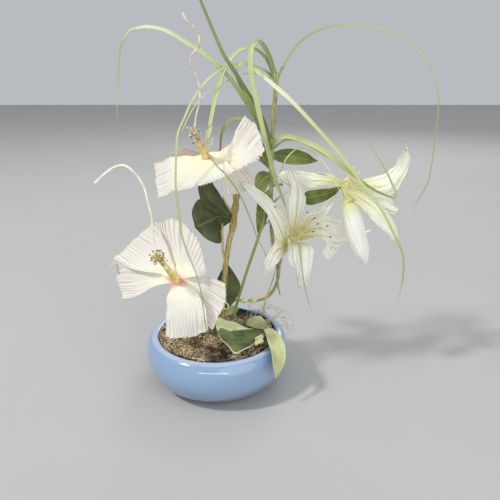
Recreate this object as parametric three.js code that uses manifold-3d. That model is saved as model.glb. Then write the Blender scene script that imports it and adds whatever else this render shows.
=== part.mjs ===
// An ikebana arrangement: two hibiscus blooms, lilies and arching grass in a low glazed bowl.
// Millimetres, +Z up. The bowl's axis is the Z axis, its foot stands on z = 0, and -Y is the front.
import * as THREE from 'three';
import { mergeVertices } from 'three/addons/utils/BufferGeometryUtils.js';
import Module from 'manifold-3d';

const wasm = await Module();
wasm.setup();

// ---------------------------------------------------------------- driving dimensions
const GAP = 0.3; // clearance between neighbouring pieces
const SHEET = 0.8; // thickness of petals, leaves and grass blades
const BOWL = {
  radius: 80, bulge: 36.2, rim: 70.1, height: 56.3, foot: 44, wall: 4.5, floor: 7, turns: 32,
};
const FOAM = { radius: 62, top: 40, turns: 16 };
const MOSS = { radius: 64.3, top: 55, relief: 2.2, spokes: 22, curls: 12, curlRadius: 0.7 };
const STEM = { hibiscus: 3.1, branch: 2, lily: 2.5, twig: 1.7, petiole: 1.3, stalk: 1.4 };
const BLADE = { facing: [0, -1, 0.33], fold: 0.35, narrow: 1.7 };
const HIBISCUS = { pleats: 10, pleat: 0.8, ruffle: 0.8, rows: 4, anthers: 10, style: 0.9 };

// Hibiscus: the throat of each bloom, the direction in which it faces and the tip of its column.
const BLOOM_LEFT = { throat: [-36, -45, 135], axis: [-0.4, -0.8, 0.45], tip: [-48, -73, 171] };
const BLOOM_TOP = { throat: [-6, -20, 256], axis: [-0.36, -0.55, 0.75], tip: [-14, -39, 279] };

// Colours of the pieces.
const COLOUR = {
  glaze: 0x86a5d8, foam: 0x4a6a3a, moss: 0xb59a66, bark: 0x9a8248, petal: 0xf4efec,
  column: 0xd9c96a, style: 0xe9e2bf, calyx: 0x7d8c4a, darkLeaf: 0x46542f, paleLeaf: 0xb9c48a,
  cane: 0xa29a5e, lily: 0xf3f1e4, anther: 0xc9b070, bud: 0xf0efe0, lilyLeaf: 0x6a7c3a,
  grass: 0xb4c27c,
};

// ---------------------------------------------------------------- small helpers
const vector = (p) => new THREE.Vector3(...p);
const spline = (points) => new THREE.CatmullRomCurve3(points.map(vector), false, 'centripetal');

// A seeded random number between 0 and 1.
function random(seed) {
  let state = seed;
  return () => {
    state = (state * 16807) % 2147483647;
    return state / 2147483647;
  };
}

// The value at t (0 to 1) of a list of evenly spaced values.
function along(values, t) {
  const place = Math.min(Math.max(t, 0), 1) * (values.length - 1);
  const index = Math.min(Math.floor(place), values.length - 2);
  if (values.length === 1) return values[0];
  return THREE.MathUtils.lerp(values[index], values[index + 1], place - index);
}

// ---------------------------------------------------------------- solids
function toSolid(geometry) {
  const bare = new THREE.BufferGeometry();
  bare.setAttribute('position', geometry.getAttribute('position').clone());
  if (geometry.index) bare.setIndex(geometry.index.clone());
  const merged = mergeVertices(bare, 1e-4);
  const corners = [];
  for (let i = 0; i < merged.index.count; i += 3) {
    const [a, b, c] = [0, 1, 2].map((k) => merged.index.getX(i + k));
    if (a !== b && b !== c && c !== a) corners.push(a, b, c);
  }
  const vertProperties = new Float32Array(merged.getAttribute('position').array);
  const mesh = new wasm.Mesh({ numProp: 3, vertProperties, triVerts: new Uint32Array(corners) });
  return new wasm.Manifold(mesh);
}

const union = (solids) => solids.reduce((sum, solid) => sum.add(solid));
const without = (solid, cutters) => cutters.reduce((rest, cutter) => rest.subtract(cutter), solid);

// The largest connected body of a solid, so that a cut leaves no loose scrap.
function mainBody(solid) {
  const bodies = solid.decompose();
  return bodies.reduce((best, body) => (body.volume() > best.volume() ? body : best));
}

function polygon(radius, sides) {
  const shape = new THREE.Shape();
  for (let i = 0; i < sides; i += 1) {
    const angle = (i / sides) * Math.PI * 2;
    if (i === 0) shape.moveTo(radius, 0);
    else shape.lineTo(radius * Math.cos(angle), radius * Math.sin(angle));
  }
  shape.closePath();
  return shape;
}

// A round bar along a smooth route. With grow it is that much larger all round, ends included,
// and so cuts a plain hole that the bar itself fits with clearance.
function bar(points, radius, sides, steps, grow = 0) {
  const route = points.map(vector);
  const [first, last] = [route[0], route[route.length - 1]];
  const [start, end] = [first.clone().sub(route[1]), last.clone().sub(route[route.length - 2])];
  if (grow > 0) {
    first.add(start.setLength(grow));
    last.add(end.setLength(grow));
  }
  const extrudePath = new THREE.CatmullRomCurve3(route, false, 'centripetal');
  const options = { extrudePath, steps, bevelEnabled: false };
  const size = radius + grow / Math.cos(Math.PI / sides);
  return toSolid(new THREE.ExtrudeGeometry(polygon(size, sides), options));
}

// A geometry made along +Y, turned to a direction and moved to its place.
function placed(geometry, origin, direction) {
  const aim = new THREE.Quaternion();
  aim.setFromUnitVectors(new THREE.Vector3(0, 1, 0), vector(direction).normalize());
  geometry.applyQuaternion(aim);
  geometry.translate(...origin);
  return toSolid(geometry);
}

// A turned solid: a profile of [radius, height] pairs, placed with its axis along a direction.
function turned(profile, sides, origin = [0, 0, 0], direction = [0, 0, 1]) {
  const points = profile.map(([r, z]) => new THREE.Vector2(r, z));
  return placed(new THREE.LatheGeometry(points, sides), origin, direction);
}

// A small faceted bead, stretched along a direction. Its faces move out by grow.
function bead(centre, radius, stretch, direction, grow = 0) {
  const geometry = new THREE.OctahedronGeometry(radius + grow * Math.sqrt(3), 0);
  geometry.scale(1, stretch, 1);
  return placed(geometry, centre, direction);
}

// A thin closed sheet round the surface middle(s, t): s runs -1 to 1 across, t runs 0 to 1 along.
// Both faces are split into the same triangles, so that a waved sheet never crosses itself.
function sheet(middle, columns, rows) {
  const grid = [];
  for (let j = 0; j <= rows; j += 1) {
    grid.push(Array.from({ length: columns + 1 }, (_, i) => middle(-1 + (2 * i) / columns, j / rows)));
  }
  const at = (i, j) => grid[THREE.MathUtils.clamp(j, 0, rows)][THREE.MathUtils.clamp(i, 0, columns)];
  const positions = [[], []];
  for (let j = 0; j <= rows; j += 1) {
    for (let i = 0; i <= columns; i += 1) {
      const across = at(i + 1, j).clone().sub(at(i - 1, j));
      const forward = at(i, j + 1).clone().sub(at(i, j - 1));
      const offset = across.cross(forward).setLength(SHEET / 2);
      positions[0].push(...at(i, j).clone().add(offset).toArray());
      positions[1].push(...at(i, j).clone().sub(offset).toArray());
    }
  }
  const count = (columns + 1) * (rows + 1);
  const front = (i, j) => j * (columns + 1) + i;
  const back = (i, j) => front(i, j) + count;
  const cell = (side, i, j) => [side(i, j), side(i + 1, j), side(i + 1, j + 1), side(i, j + 1)];
  const corners = [];
  for (let j = 0; j < rows; j += 1) {
    for (let i = 0; i < columns; i += 1) {
      const [a, b, c, d] = cell(front, i, j);
      const [e, f, g, h] = cell(back, i, j);
      corners.push(a, b, c, a, c, d, e, g, f, e, h, g);
    }
  }
  const wall = (i, j, k, l) => {
    corners.push(front(i, j), back(i, j), back(k, l), front(i, j), back(k, l), front(k, l));
  };
  for (let i = 0; i < columns; i += 1) {
    wall(i, 0, i + 1, 0);
    wall(i + 1, rows, i, rows);
  }
  for (let j = 0; j < rows; j += 1) {
    wall(columns, j, columns, j + 1);
    wall(0, j + 1, 0, j);
  }
  const geometry = new THREE.BufferGeometry();
  geometry.setAttribute('position', new THREE.Float32BufferAttribute(positions.flat(), 3));
  geometry.setIndex(corners);
  return toSolid(geometry);
}

// ---------------------------------------------------------------- petals, leaves and blades
// A petal or leaf lies between its left and right edges, which run from the base to the tip as seen
// from its face. cup sinks the middle, crease folds it along the midrib, pleats radiate from the
// base, waves ruffle the edges and tip lists how far the end reaches past its corners.
function petal(form, columns, rows) {
  const { left, right, cup = 0, crease = 0, pleat = 0, ruffle = 0, waves = 3, tip = [0] } = form;
  const leftEdge = spline(left);
  const rightEdge = spline(right);
  const flat = (s, t) => leftEdge.getPoint(t).lerp(rightEdge.getPoint(t), (s + 1) / 2);
  return sheet((s, t) => {
    const across = rightEdge.getPoint(t).sub(leftEdge.getPoint(t));
    const half = across.length() / 2;
    const forward = flat(0, Math.min(t + 0.05, 1)).sub(flat(0, Math.max(t - 0.05, 0)));
    const face = across.cross(forward).normalize();
    const reach = flat(s, 1).sub(flat(s, 0.8)).setLength(along(tip, (s + 1) / 2) * t ** 3);
    const sink = -half * Math.min(4 * t, 1) * (cup * (1 - s * s) + crease * (1 - Math.abs(s)));
    const fold = pleat * t * Math.cos(Math.PI * Math.round(((s + 1) / 2) * columns));
    const ripple = ruffle * s * s * Math.sin(Math.PI * (2 * waves * t + (s > 0 ? 0.6 : 0)));
    return flat(s, t).add(reach).addScaledVector(face, sink + fold + ripple);
  }, columns, rows);
}

// A grass blade: two strips that meet in a shallow fold along its route, or one where it is narrow.
function blade({ route, halfWidth }) {
  const centre = spline(route);
  const columns = Math.max(...halfWidth) > BLADE.narrow ? 2 : 1;
  return sheet((s, t) => {
    const forward = centre.getTangent(t);
    const across = forward.clone().cross(vector(BLADE.facing)).normalize();
    const face = across.clone().cross(forward).normalize();
    const half = along(halfWidth, t);
    const point = centre.getPoint(t).addScaledVector(across, s * half);
    return point.addScaledVector(face, -BLADE.fold * half * (1 - Math.abs(s)));
  }, columns, route.length - 1);
}

// ---------------------------------------------------------------- scene graph
const arrangement = new THREE.Group();

function addPiece(name, solid, color, roughness = 0.7) {
  const mesh = mainBody(solid).getMesh();
  const geometry = new THREE.BufferGeometry();
  const positions = Array.from(mesh.vertProperties);
  geometry.setAttribute('position', new THREE.Float32BufferAttribute(positions, 3));
  geometry.setIndex(Array.from(mesh.triVerts));
  geometry.computeVertexNormals();
  const material = new THREE.MeshStandardMaterial({ color, roughness, metalness: 0 });
  const piece = new THREE.Mesh(geometry, material);
  piece.name = name;
  arrangement.add(piece);
}

// ---------------------------------------------------------------- stems
const HIBISCUS_ROUTE = [[4, 5, 22], [4, 4, 42], [6, 3, 80], [8, 0, 110], [13, -1, 154],
  [19, -1, 181],
  [22, -1, 203], [23, -1, 216], [16, -4, 228], [6, -8, 235], [2, -8, 239]];
const LEFT_BRANCH_ROUTE = [[8, 0, 108], [2, -5, 117], [-12, -16, 125], [-26, -27, 129]];
const LOOSE_STRIP = [[11, 1, 136], [8, -4, 154], [8, -5, 171], [8, -6, 185]];
const STUB_ROUTE = [[20, -1, 193], [13, -4, 204], [9, -6, 213]];
const KNOTS = [[21, -1, 197], [18, -1, 181]];
const LILY_ROUTE = [[-14, 43, 22], [-12, 44, 44], [-5, 46, 62], [8, 46, 72], [31, 46, 73],
  [47, 46, 73], [58, 45, 78],
  [66, 43, 89], [70, 41, 104], [69, 39, 125], [63, 37, 148], [61, 35, 177], [60, 32, 212],
  [60, 28, 256],
  [62, 24, 297], [63, 20, 331]];
const LILY_FRONT_ROUTE = [[70, 41, 106], [71, 36, 124], [73, 29, 137], [77, 22, 148]];
const LILY_SIDE_ROUTE = [[61, 34, 216], [79, 34, 219], [94, 31, 222], [110, 25, 225],
  [124, 15, 225], [132, 8, 221]];

const BROKEN_STUB = [[70, 42, 100], [71, 42, 90], [73, 42, 82]];
const CANE_BUDS = [[30, 43, 73.5], [41, 43, 73.5]];
const TENDRIL = [[3, 46, 69], [3, 42, 75], [7, 40, 75], [9, 40, 70], [6, 40, 65.5], [2.5, 41, 67]];

function hibiscusStem(grow) {
  const stem = bar(HIBISCUS_ROUTE.slice(0, 8), STEM.hibiscus, 8, 11, grow);
  const pedicel = bar(HIBISCUS_ROUTE.slice(6), STEM.branch, 6, 6, grow);
  const branch = bar(LEFT_BRANCH_ROUTE, STEM.branch, 6, 5, grow);
  const strip = bar(LOOSE_STRIP, 1, 3, 4, grow);
  const stub = bar(STUB_ROUTE, 1.2, 4, 2, grow);
  const knots = KNOTS.map((p) => bead(p, STEM.hibiscus + 1.6, 1.4, [0.1, 0, 1], grow));
  return union([stem, pedicel, branch, strip, stub, ...knots]);
}

// The cane that carries the lilies and the grass, with its two side branches, a broken stub,
// two buds on the level part and a curled tendril.
function lilyStem(grow) {
  const cane = bar(LILY_ROUTE, STEM.lily, 7, 23, grow);
  const front = bar(LILY_FRONT_ROUTE, STEM.lily - 0.2, 6, 4, grow);
  const side = bar(LILY_SIDE_ROUTE, STEM.twig, 5, 7, grow);
  const stub = bar(BROKEN_STUB, 1, 4, 2, grow);
  const tendril = bar(TENDRIL, 1, 4, 8, grow);
  const buds = CANE_BUDS.map((p) => bead(p, 3.4, 1.5, [1, 0, 0.1], grow));
  return union([cane, front, side, stub, tendril, ...buds]);
}

// ---------------------------------------------------------------- hibiscus blooms
const LEFT_PETALS = [
  { left: [[-39, -45, 133], [-51, -41, 131], [-65, -39, 125], [-81, -37, 115], [-97, -27, 108]],
    right: [[-41, -42, 137], [-55, -34, 140], [-74, -25, 142], [-93, -14, 145], [-108, -3, 142]],
    cup: 0.16, tip: [0, 5, 6, 5, 3] },
  { left: [[-41, -43, 135], [-54, -38, 141], [-69, -34, 142], [-86, -24, 142], [-105, -8, 146]],
    right: [[-36, -43, 139], [-41, -37, 153], [-48, -29, 168], [-55, -20, 178], [-63, -9, 182]],
    cup: 0.2, tip: [3, 8, 11, 9, 4] },
  { left: [[-38, -42, 138], [-44, -33, 152], [-50, -25, 164], [-56, -17, 174], [-60, -7, 181]],
    right: [[-32, -45, 138], [-24, -49, 142], [-17, -53, 145], [-11, -55, 146], [-7, -52, 148]],
    cup: 0.12, tip: [4, 17, 35, 37, 24, 8, 0] },
  { left: [[-32, -45, 138], [-23, -45, 140], [-13, -47, 141], [-1, -51, 142], [8, -53, 139]],
    right: [[-35, -46, 133], [-27, -51, 126], [-18, -59, 115], [-9, -68, 104], [1, -74, 96]],
    cup: 0.14, tip: [0, 3, 4, 3, 0] },
  { left: [[-29, -48, 138], [-17, -60, 133], [-8, -69, 123], [-4, -75, 110], [-4, -76, 97]],
    right: [[-41, -44, 132], [-45, -51, 123], [-46, -57, 111], [-47, -61, 97], [-47, -62, 83]],
    cup: -0.16, tip: [0, 3, 3, 2, 0] },
];
const TOP_PETALS = [
  { left: [[-8, -22, 253], [-15, -30, 246], [-24, -38, 237], [-36, -40, 227], [-52, -35, 220]],
    right: [[-10, -15, 257], [-22, -12, 255], [-35, -7, 254], [-48, -2, 250], [-61, 4, 244]],
    cup: 0.18, tip: [0, 2, 3, 2, 0] },
  { left: [[0, -22, 255], [7, -30, 253], [13, -38, 252], [17, -44, 249], [21, -48, 247]],
    right: [[-9, -23, 253], [-14, -34, 247], [-19, -45, 241], [-25, -54, 236], [-30, -60, 231]],
    cup: 0.12, tip: [0, 1, 1, 1, 0] },
  { left: [[-4, -17, 259], [8, -19, 261], [18, -18, 267], [24, -12, 278], [31, -5, 289]],
    right: [[0, -24, 255], [12, -35, 252], [26, -43, 253], [37, -47, 258], [47, -47, 266]],
    cup: 0.22, tip: [0, 6, 9, 6, 1] },
  { left: [[-9, -16, 256], [-25, -2, 256], [-38, 12, 255], [-46, 26, 251], [-47, 40, 244]],
    right: [[-4, -14, 257], [2, 0, 255], [7, 14, 252], [7, 28, 247], [1, 42, 240]],
    cup: 0.14, tip: [0, 6, 8, 6, 0] },
  { left: [[2, -20, 255], [13, -16, 251], [24, -15, 248], [34, -14, 244], [42, -13, 234]],
    right: [[-3, -21, 252], [4, -21, 243], [8, -18, 234], [9, -15, 226], [9, -14, 219]],
    cup: 0.14, tip: [0, 3, 9, 9, 5, 2] },
];

// The narrow tube behind a bloom's throat, which joins its petals.
function throatTube({ throat, axis }, grow) {
  const [low, high] = [-13 - grow, 0.5 + grow];
  const profile = [[0, low], [2.6 + grow, low], [4 + grow, -7], [6.5 + grow, high], [0, high]];
  return turned(profile, 8, throat, axis);
}

// The stamen column: a tapering bar set with anthers on short filaments towards its tip.
function column({ throat, tip }, grow, seed) {
  const next = random(seed);
  const aim = vector(tip).sub(vector(throat));
  const length = aim.length();
  aim.normalize();
  const [low, high] = [0.9 - grow, length + grow];
  const profile = [[0, low], [3.6 + grow, low], [2.4 + grow, high], [0, high]];
  const shaft = turned(profile, 8, throat, aim.toArray());
  const side = new THREE.Vector3(0, 0, 1).cross(aim).normalize();
  const parts = [shaft];
  for (let i = 0; i < HIBISCUS.anthers; i += 1) {
    const base = vector(throat).addScaledVector(aim, length * (0.78 + 0.2 * next()));
    const swing = side.clone().applyAxisAngle(aim, i * 2.4);
    const out = swing.multiplyScalar(5 + 3 * next()).addScaledVector(aim, 1 + 3 * next());
    const end = base.clone().add(out);
    parts.push(bar([base.toArray(), end.toArray()], 0.5, 3, 1, grow));
    parts.push(bead(end.toArray(), 1.5, 1.2, out.toArray(), grow));
  }
  return union(parts);
}

// The green cup of sepals that holds the tube.
function calyx({ throat, axis }, grow) {
  const [low, high] = [-21 - grow, -9 + grow];
  const profile = [[0, low], [2.6 + grow, low], [5 + grow, -16], [6 + grow, high], [0, high]];
  return turned(profile, 8, throat, axis);
}

const LEFT_STYLE = [[-48, -73, 170.5], [-51, -73, 188], [-52, -70, 206], [-55, -68, 222],
  [-59, -66, 238], [-66, -66, 249],
  [-74, -66, 255], [-82, -66, 254], [-93, -66, 247], [-102, -66, 239]];
const TOP_STYLE = [[-14, -39, 278.5], [-13, -34, 293], [-9, -32, 309], [-9, -30, 320],
  [-12, -29, 331], [-16, -30, 340],
  [-15, -31, 347], [-9, -30, 354], [-8, -28, 362], [-12, -27, 370], [-19, -27, 376],
  [-22, -27, 382]];

function addBloom(name, bloom, petals, style, seed) {
  const heart = column(bloom, GAP, seed);
  const { pleats, pleat, ruffle, rows } = HIBISCUS;
  const corolla = petals.map((form) => petal({ ...form, pleat, ruffle }, pleats, rows));
  const whole = union([throatTube(bloom, 0), ...corolla]);
  addPiece(`${name}_petals`, without(whole, [heart]), COLOUR.petal);
  addPiece(`${name}_column`, column(bloom, 0, seed), COLOUR.column);
  const thread = bar(style, HIBISCUS.style, 4, style.length + 4);
  addPiece(`${name}_style`, without(thread, [heart]), COLOUR.style);
  addPiece(`${name}_calyx`, without(calyx(bloom, 0), [throatTube(bloom, GAP)]), COLOUR.calyx);
}

// ---------------------------------------------------------------- leaves
const LEAF = {
  hibiscus_leaf_upper: { left: [[14, -3, 190], [-2, -6, 199], [-12, -10, 207], [-15, -12, 219],
    [-14, -12, 234]],
    right: [[18, -2, 195], [10, 2, 207], [3, 4, 217], [-2, 6, 226], [-7, 8, 234]],
      crease: 0.35, ruffle: 0.8 },
  hibiscus_leaf_lower: { left: [[19, 0, 186], [6, 6, 174], [5, 10, 158], [-8, 10, 161],
    [-20, 8, 172]],
    right: [[20, 1, 192], [-3, 12, 201], [-17, 14, 206], [-25, 14, 194], [-24, 10, 179]],
      crease: 0.12, ruffle: 1 },
  hibiscus_leaf_upright: { left: [[5, 16, 73], [-2, 15, 90], [-3, 14, 107], [3, 13, 120],
    [10, 12, 134]],
    right: [[10, 16, 73], [21, 19, 87], [26, 20, 103], [19, 17, 120], [13, 13, 133]],
      crease: 0.2, ruffle: 0.8 },
  leaf_small_back: { left: [[2, 34, 60], [8, 34, 69], [15, 34, 71.5], [21, 33, 71]],
    right: [[6, 32, 57], [14, 31, 61], [20, 31, 64], [24, 32, 68]], crease: 0.2 },
  leaf_over_moss: { left: [[47, -36, 66], [39, -45, 62], [29, -51, 61], [21, -57, 60],
    [14, -50, 64], [6, -38, 68],
    [1, -26, 73]],
    right: [[47, -23, 68], [38, -14, 66], [29, -7, 65], [20, -2, 67], [11, -3, 71], [3, -4, 75],
      [-1, -13, 75]],
    crease: -0.3, ruffle: 0.8 },
  leaf_small_rim: { left: [[53, -8, 64], [46, -4, 63], [39, 0, 63], [32, 6, 62]],
    right: [[54, 2, 66], [48, 6, 69], [42, 8, 68], [34, 9, 65]], crease: 0.25 },
  leaf_over_rim: { left: [[56, -15, 69], [67, -26, 67], [72, -34, 64], [74, -42, 61],
    [74, -50, 53], [71, -57, 43],
    [65, -63, 35]],
    right: [[52, -22, 69], [54, -34, 69], [56, -45, 66], [58, -54, 63], [60, -60, 56],
      [61, -64, 47], [62, -65, 36]],
    crease: 0.3, ruffle: 0.5 },
  lily_leaf_right: { left: [[61, 29, 253], [72, 33, 256], [83, 36, 256], [97, 38, 252],
    [110, 38, 244]],
    right: [[61, 29, 246], [73, 33, 241], [85, 36, 239], [97, 38, 239], [111, 38, 241]],
      crease: 0.3 },
  lily_leaf_under: { left: [[132, 8, 219], [126, 9, 211], [117, 13, 204], [105, 17, 199],
    [93, 20, 197]],
    right: [[132, 8, 222], [124, 9, 219], [113, 13, 217], [103, 17, 215], [93, 20, 213]],
      crease: 0.3 },
  lily_leaf_pale: { left: [[60, 30, 233], [50, 28, 242], [43, 25, 249], [43, 22, 259],
    [45, 18, 270]],
    right: [[61, 29, 237], [58, 26, 247], [55, 22, 257], [50, 18, 265], [47, 16, 272]],
      crease: 0.3 },
  lily_leaf_left: { left: [[60, 29, 226], [57, 24, 220], [54, 21, 214], [50, 19, 210],
    [46, 17, 212]],
    right: [[60, 29, 231], [50, 25, 234], [44, 23, 231], [42, 21, 222], [44, 18, 214]],
      crease: 0.25 },
  lily_leaf_low: { left: [[60, 31, 209], [57, 28, 196], [56, 26, 182], [51, 25, 169],
    [48, 25, 161]],
    right: [[59, 31, 214], [47, 28, 204], [44, 26, 189], [44, 25, 174], [46, 25, 161]],
      crease: 0.3 },
};
const CRUMPLED_LOBE = { left: [[46, -31, 67], [50, -42, 66], [48, -48, 67], [42, -50, 67]],
  right: [[47, -27, 69], [51, -37, 70], [48, -41, 73], [42, -43, 70]], ruffle: 1 };
const PETIOLE = {
  hibiscus_leaf_upright: [[7, 17, 46], [7, 17, 60], [7.5, 16, 78]],
  leaf_small_back: [[3, 33.5, 46], [3.5, 33.5, 53], [5, 33, 61]],
  leaf_over_moss: [[50, -20, 46], [49.5, -24, 58], [46, -29, 67]],
  leaf_small_rim: [[56, -2, 46], [55.5, -3, 57], [52, -3, 65.5]],
  leaf_over_rim: [[58, -12, 46], [57, -14, 58], [55, -19, 69]],
};

function petiole(name, grow) {
  return bar(PETIOLE[name], STEM.petiole, 5, 2, grow);
}

function addLeaf(name, color, cutters) {
  const parts = [petal({ ...LEAF[name], waves: 2 }, 4, 5)];
  if (PETIOLE[name]) parts.push(petiole(name, 0));
  if (name === 'leaf_over_moss') parts.push(petal(CRUMPLED_LOBE, 3, 4));
  addPiece(name, without(union(parts), cutters), color, 0.75);
}

// ---------------------------------------------------------------- lilies
const FRONT_LILY = [
  { left: [[75, 20, 146], [66, 12, 163], [54, 2, 193], [41, -10, 211], [28, -24, 230]],
    right: [[79, 18, 159], [75, 14, 181], [61, 6, 206], [45, -8, 222], [29, -24, 233]],
      crease: 0.25, ruffle: 0.6 },
  { left: [[79, 18, 161], [80, 14, 183], [77, 8, 204], [79, 4, 221], [75, 2, 236], [79, 1, 243]],
    right: [[88, 18, 163], [94, 14, 191], [97, 8, 206], [93, 4, 220], [85, 2, 237], [81, 1, 243]],
    crease: 0.3, ruffle: 0.9 },
  { left: [[87, 18, 163], [96, 14, 188], [107, 12, 194], [117, 8, 204], [126, 2, 214]],
    right: [[90, 17, 161], [106, 10, 186], [116, 6, 188], [123, 4, 201], [128, 0, 212]],
      crease: 0.3 },
  { left: [[88, 17, 165], [101, 16, 181], [113, 14, 186], [126, 12, 188], [136, 12, 183],
      [144, 13, 169]],
    right: [[92, 14, 159], [106, 8, 164], [116, 3, 164], [124, 2, 155], [136, 6, 153],
      [146, 12, 154]],
    crease: 0.3, ruffle: 1 },
  { left: [[134, 6, 158], [127, 2, 148], [120, 0, 142]],
    right: [[122, 3, 160], [117, 0, 152], [114, -1, 147]], cup: 0.2 },
  { left: [[89, 15, 157], [105, 2, 156], [106, -5, 145], [103, -8, 133], [99, -5, 120],
      [96, 0, 109]],
    right: [[80, 16, 159], [77, 2, 154], [78, -5, 141], [86, -8, 133], [87, -5, 121], [91, 0, 109]],
    crease: -0.25, ruffle: 0.8 },
  { left: [[78, 19, 146], [71, 8, 140], [65, 3, 135], [60, 3, 127], [55, 5, 122]],
    right: [[75, 18, 155], [65, 8, 160], [58, 3, 150], [52, 3, 135], [51, 5, 126]],
      cup: 0.25, ruffle: 0.7 },
];
const SIDE_LILY = [
  { left: [[137, 5, 221], [121, 4, 222], [106, 8, 220], [92, 12, 218], [80, 15, 214],
      [68, 17, 226]],
    right: [[137, 4, 226], [123, 4, 231], [105, 8, 234], [89, 12, 236], [77, 15, 236],
      [65, 17, 234]],
    crease: -0.3, ruffle: 0.6 },
  { left: [[134, 3, 225], [149, 6, 227], [164, 10, 230], [178, 12, 234], [187, 10, 243],
      [192, 4, 257], [194, 0, 263]],
    right: [[135, 3, 221], [152, 4, 216], [170, 6, 209], [185, 7, 211], [196, 4, 229],
      [199, 0, 249], [195.5, 0, 262]],
    crease: -0.25, ruffle: 0.8 },
  { left: [[136, 2, 221], [153, 1, 215], [169, 0, 205], [184, -1, 190], [192, -2, 175],
      [194, -2, 165]],
    right: [[133, 2, 219], [146, 0, 207], [159, -3, 196], [171, -5, 183], [183, -4, 171],
      [190, -3, 164]],
    crease: -0.3, ruffle: 0.8 },
  { left: [[136, 6, 224], [159, 16, 217], [177, 23, 211], [195, 29, 203]],
    right: [[136, 6, 219], [159, 16, 207], [179, 23, 194], [199, 29, 183]],
      ruffle: 1.2, tip: [0, 1, 3] },
  { left: [[131, 6, 224], [119, 28, 229], [112, 50, 228], [117, 70, 220]],
    right: [[137, 7, 222], [137, 30, 220], [134, 52, 217], [121, 71, 217]],
      crease: -0.25, ruffle: 0.8 },
  { left: [[134, 7, 224], [141, 32, 226], [151, 52, 223], [172, 66, 212]],
    right: [[138, 6, 220], [158, 27, 211], [172, 44, 206], [175, 64, 208]],
      crease: -0.25, ruffle: 0.8 },
];
const BUD_ROUTE = [[137, -9, 208], [143, -11, 190], [148, -12, 173], [154, -13, 156],
  [159, -14, 143]];

// The tube behind the front lily's throat.
function lilyTube(grow) {
  const profile = [[0, -grow], [2.7 + grow, -grow], [4 + grow, 8], [6.8 + grow, 17], [0, 17]];
  return turned(profile, 9, [77, 23, 146], [0.41, -0.5, 0.76]);
}

// Six filaments with anthers and the longer pistil, joined in the throat.
function lilyStamens({ throat, tips }, grow) {
  const parts = [bead(throat, 2.6, 1.2, [0, 0, 1], grow)];
  tips.forEach((end, index) => {
    const middle = throat.map((value, k) => (value + end[k]) / 2 + (k === 2 ? 2 : 0));
    const pistil = index === 0;
    parts.push(bar([throat, middle, end], pistil ? 0.9 : 0.6, 3, 3, grow));
    parts.push(bead(end, pistil ? 2 : 1.6, pistil ? 1 : 2, [0.4, -0.2, 1], grow));
  });
  return union(parts);
}

const FRONT_STAMENS = { throat: [84.5, 13.3, 160], tips: [[113, -6, 180], [105, 2, 188],
  [108, -5, 184], [118, -6, 182],
  [121, -10, 171], [97, 0, 195], [103, -10, 177]] };
const SIDE_STAMENS = { throat: [141, 13, 219], tips: [[154, 56, 232], [148, 50, 235],
  [144, 48, 226], [160, 50, 228],
  [152, 52, 222]] };

// A closed bud: three furled petals seen as a rounded, ridged spindle.
function bud() {
  const centre = spline(BUD_ROUTE);
  const widths = [5.2, 8, 8.8, 8.6, 8, 5.8, 1.2];
  const sides = 10;
  const rows = 8;
  const rings = Array.from({ length: rows + 1 }, (_, j) => {
    const t = j / rows;
    const forward = centre.getTangent(t);
    const across = new THREE.Vector3(1, 0, 0.3).cross(forward).normalize();
    const side = forward.clone().cross(across).normalize();
    return Array.from({ length: sides }, (_unused, i) => {
      const angle = (i / sides) * Math.PI * 2 + t * 0.8;
      const radius = along(widths, t) * (1 + 0.07 * Math.cos(3 * angle));
      return centre.getPoint(t).addScaledVector(side, radius * Math.cos(angle))
        .addScaledVector(across, radius * Math.sin(angle));
    });
  });
  const spike = bar([[152, -14, 177], [159, -17, 179], [164, -18, 183]], 0.9, 3, 2);
  return loft(rings).add(spike);
}

// A closed solid through rings of equal length, with a fan of triangles on each end.
function loft(rings) {
  const sides = rings[0].length;
  const centre = (ring) => ring.reduce((sum, p) => sum.add(p), new THREE.Vector3()).divideScalar(sides);
  const points = [...rings.flat(), centre(rings[0]), centre(rings[rings.length - 1])];
  const corners = [];
  for (let j = 0; j < rings.length - 1; j += 1) {
    for (let i = 0; i < sides; i += 1) {
      const [a, b] = [j * sides + i, j * sides + ((i + 1) % sides)];
      corners.push(a, b, b + sides, a, b + sides, a + sides);
    }
  }
  const last = (rings.length - 1) * sides;
  for (let i = 0; i < sides; i += 1) {
    corners.push(points.length - 2, (i + 1) % sides, i);
    corners.push(points.length - 1, last + i, last + ((i + 1) % sides));
  }
  const geometry = new THREE.BufferGeometry();
  const positions = points.flatMap((p) => p.toArray());
  geometry.setAttribute('position', new THREE.Float32BufferAttribute(positions, 3));
  geometry.setIndex(corners);
  const solid = toSolid(geometry);
  return solid.volume() > 0 ? solid : toSolid(flipped(geometry));
}

function flipped(geometry) {
  const index = geometry.index.array;
  for (let i = 0; i < index.length; i += 3) [index[i], index[i + 1]] = [index[i + 1], index[i]];
  return geometry;
}

// The green ring and short neck that carry the bud.
function budNeck(grow) {
  const neck = bar([[133, 6, 220], [134, 0, 216], [136, -7, 211.5]], 1.8, 6, 3, grow);
  const [low, high] = [-3 - grow, 2.4 + grow];
  const profile = [[0, low], [2 + grow, low], [5.6 + grow, 0], [5.6 + grow, high], [0, high]];
  const ring = turned(profile, 9, [136.6, -8.2, 209.5], [0.32, -0.1, -0.94]);
  return union([neck, ring]);
}

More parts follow.
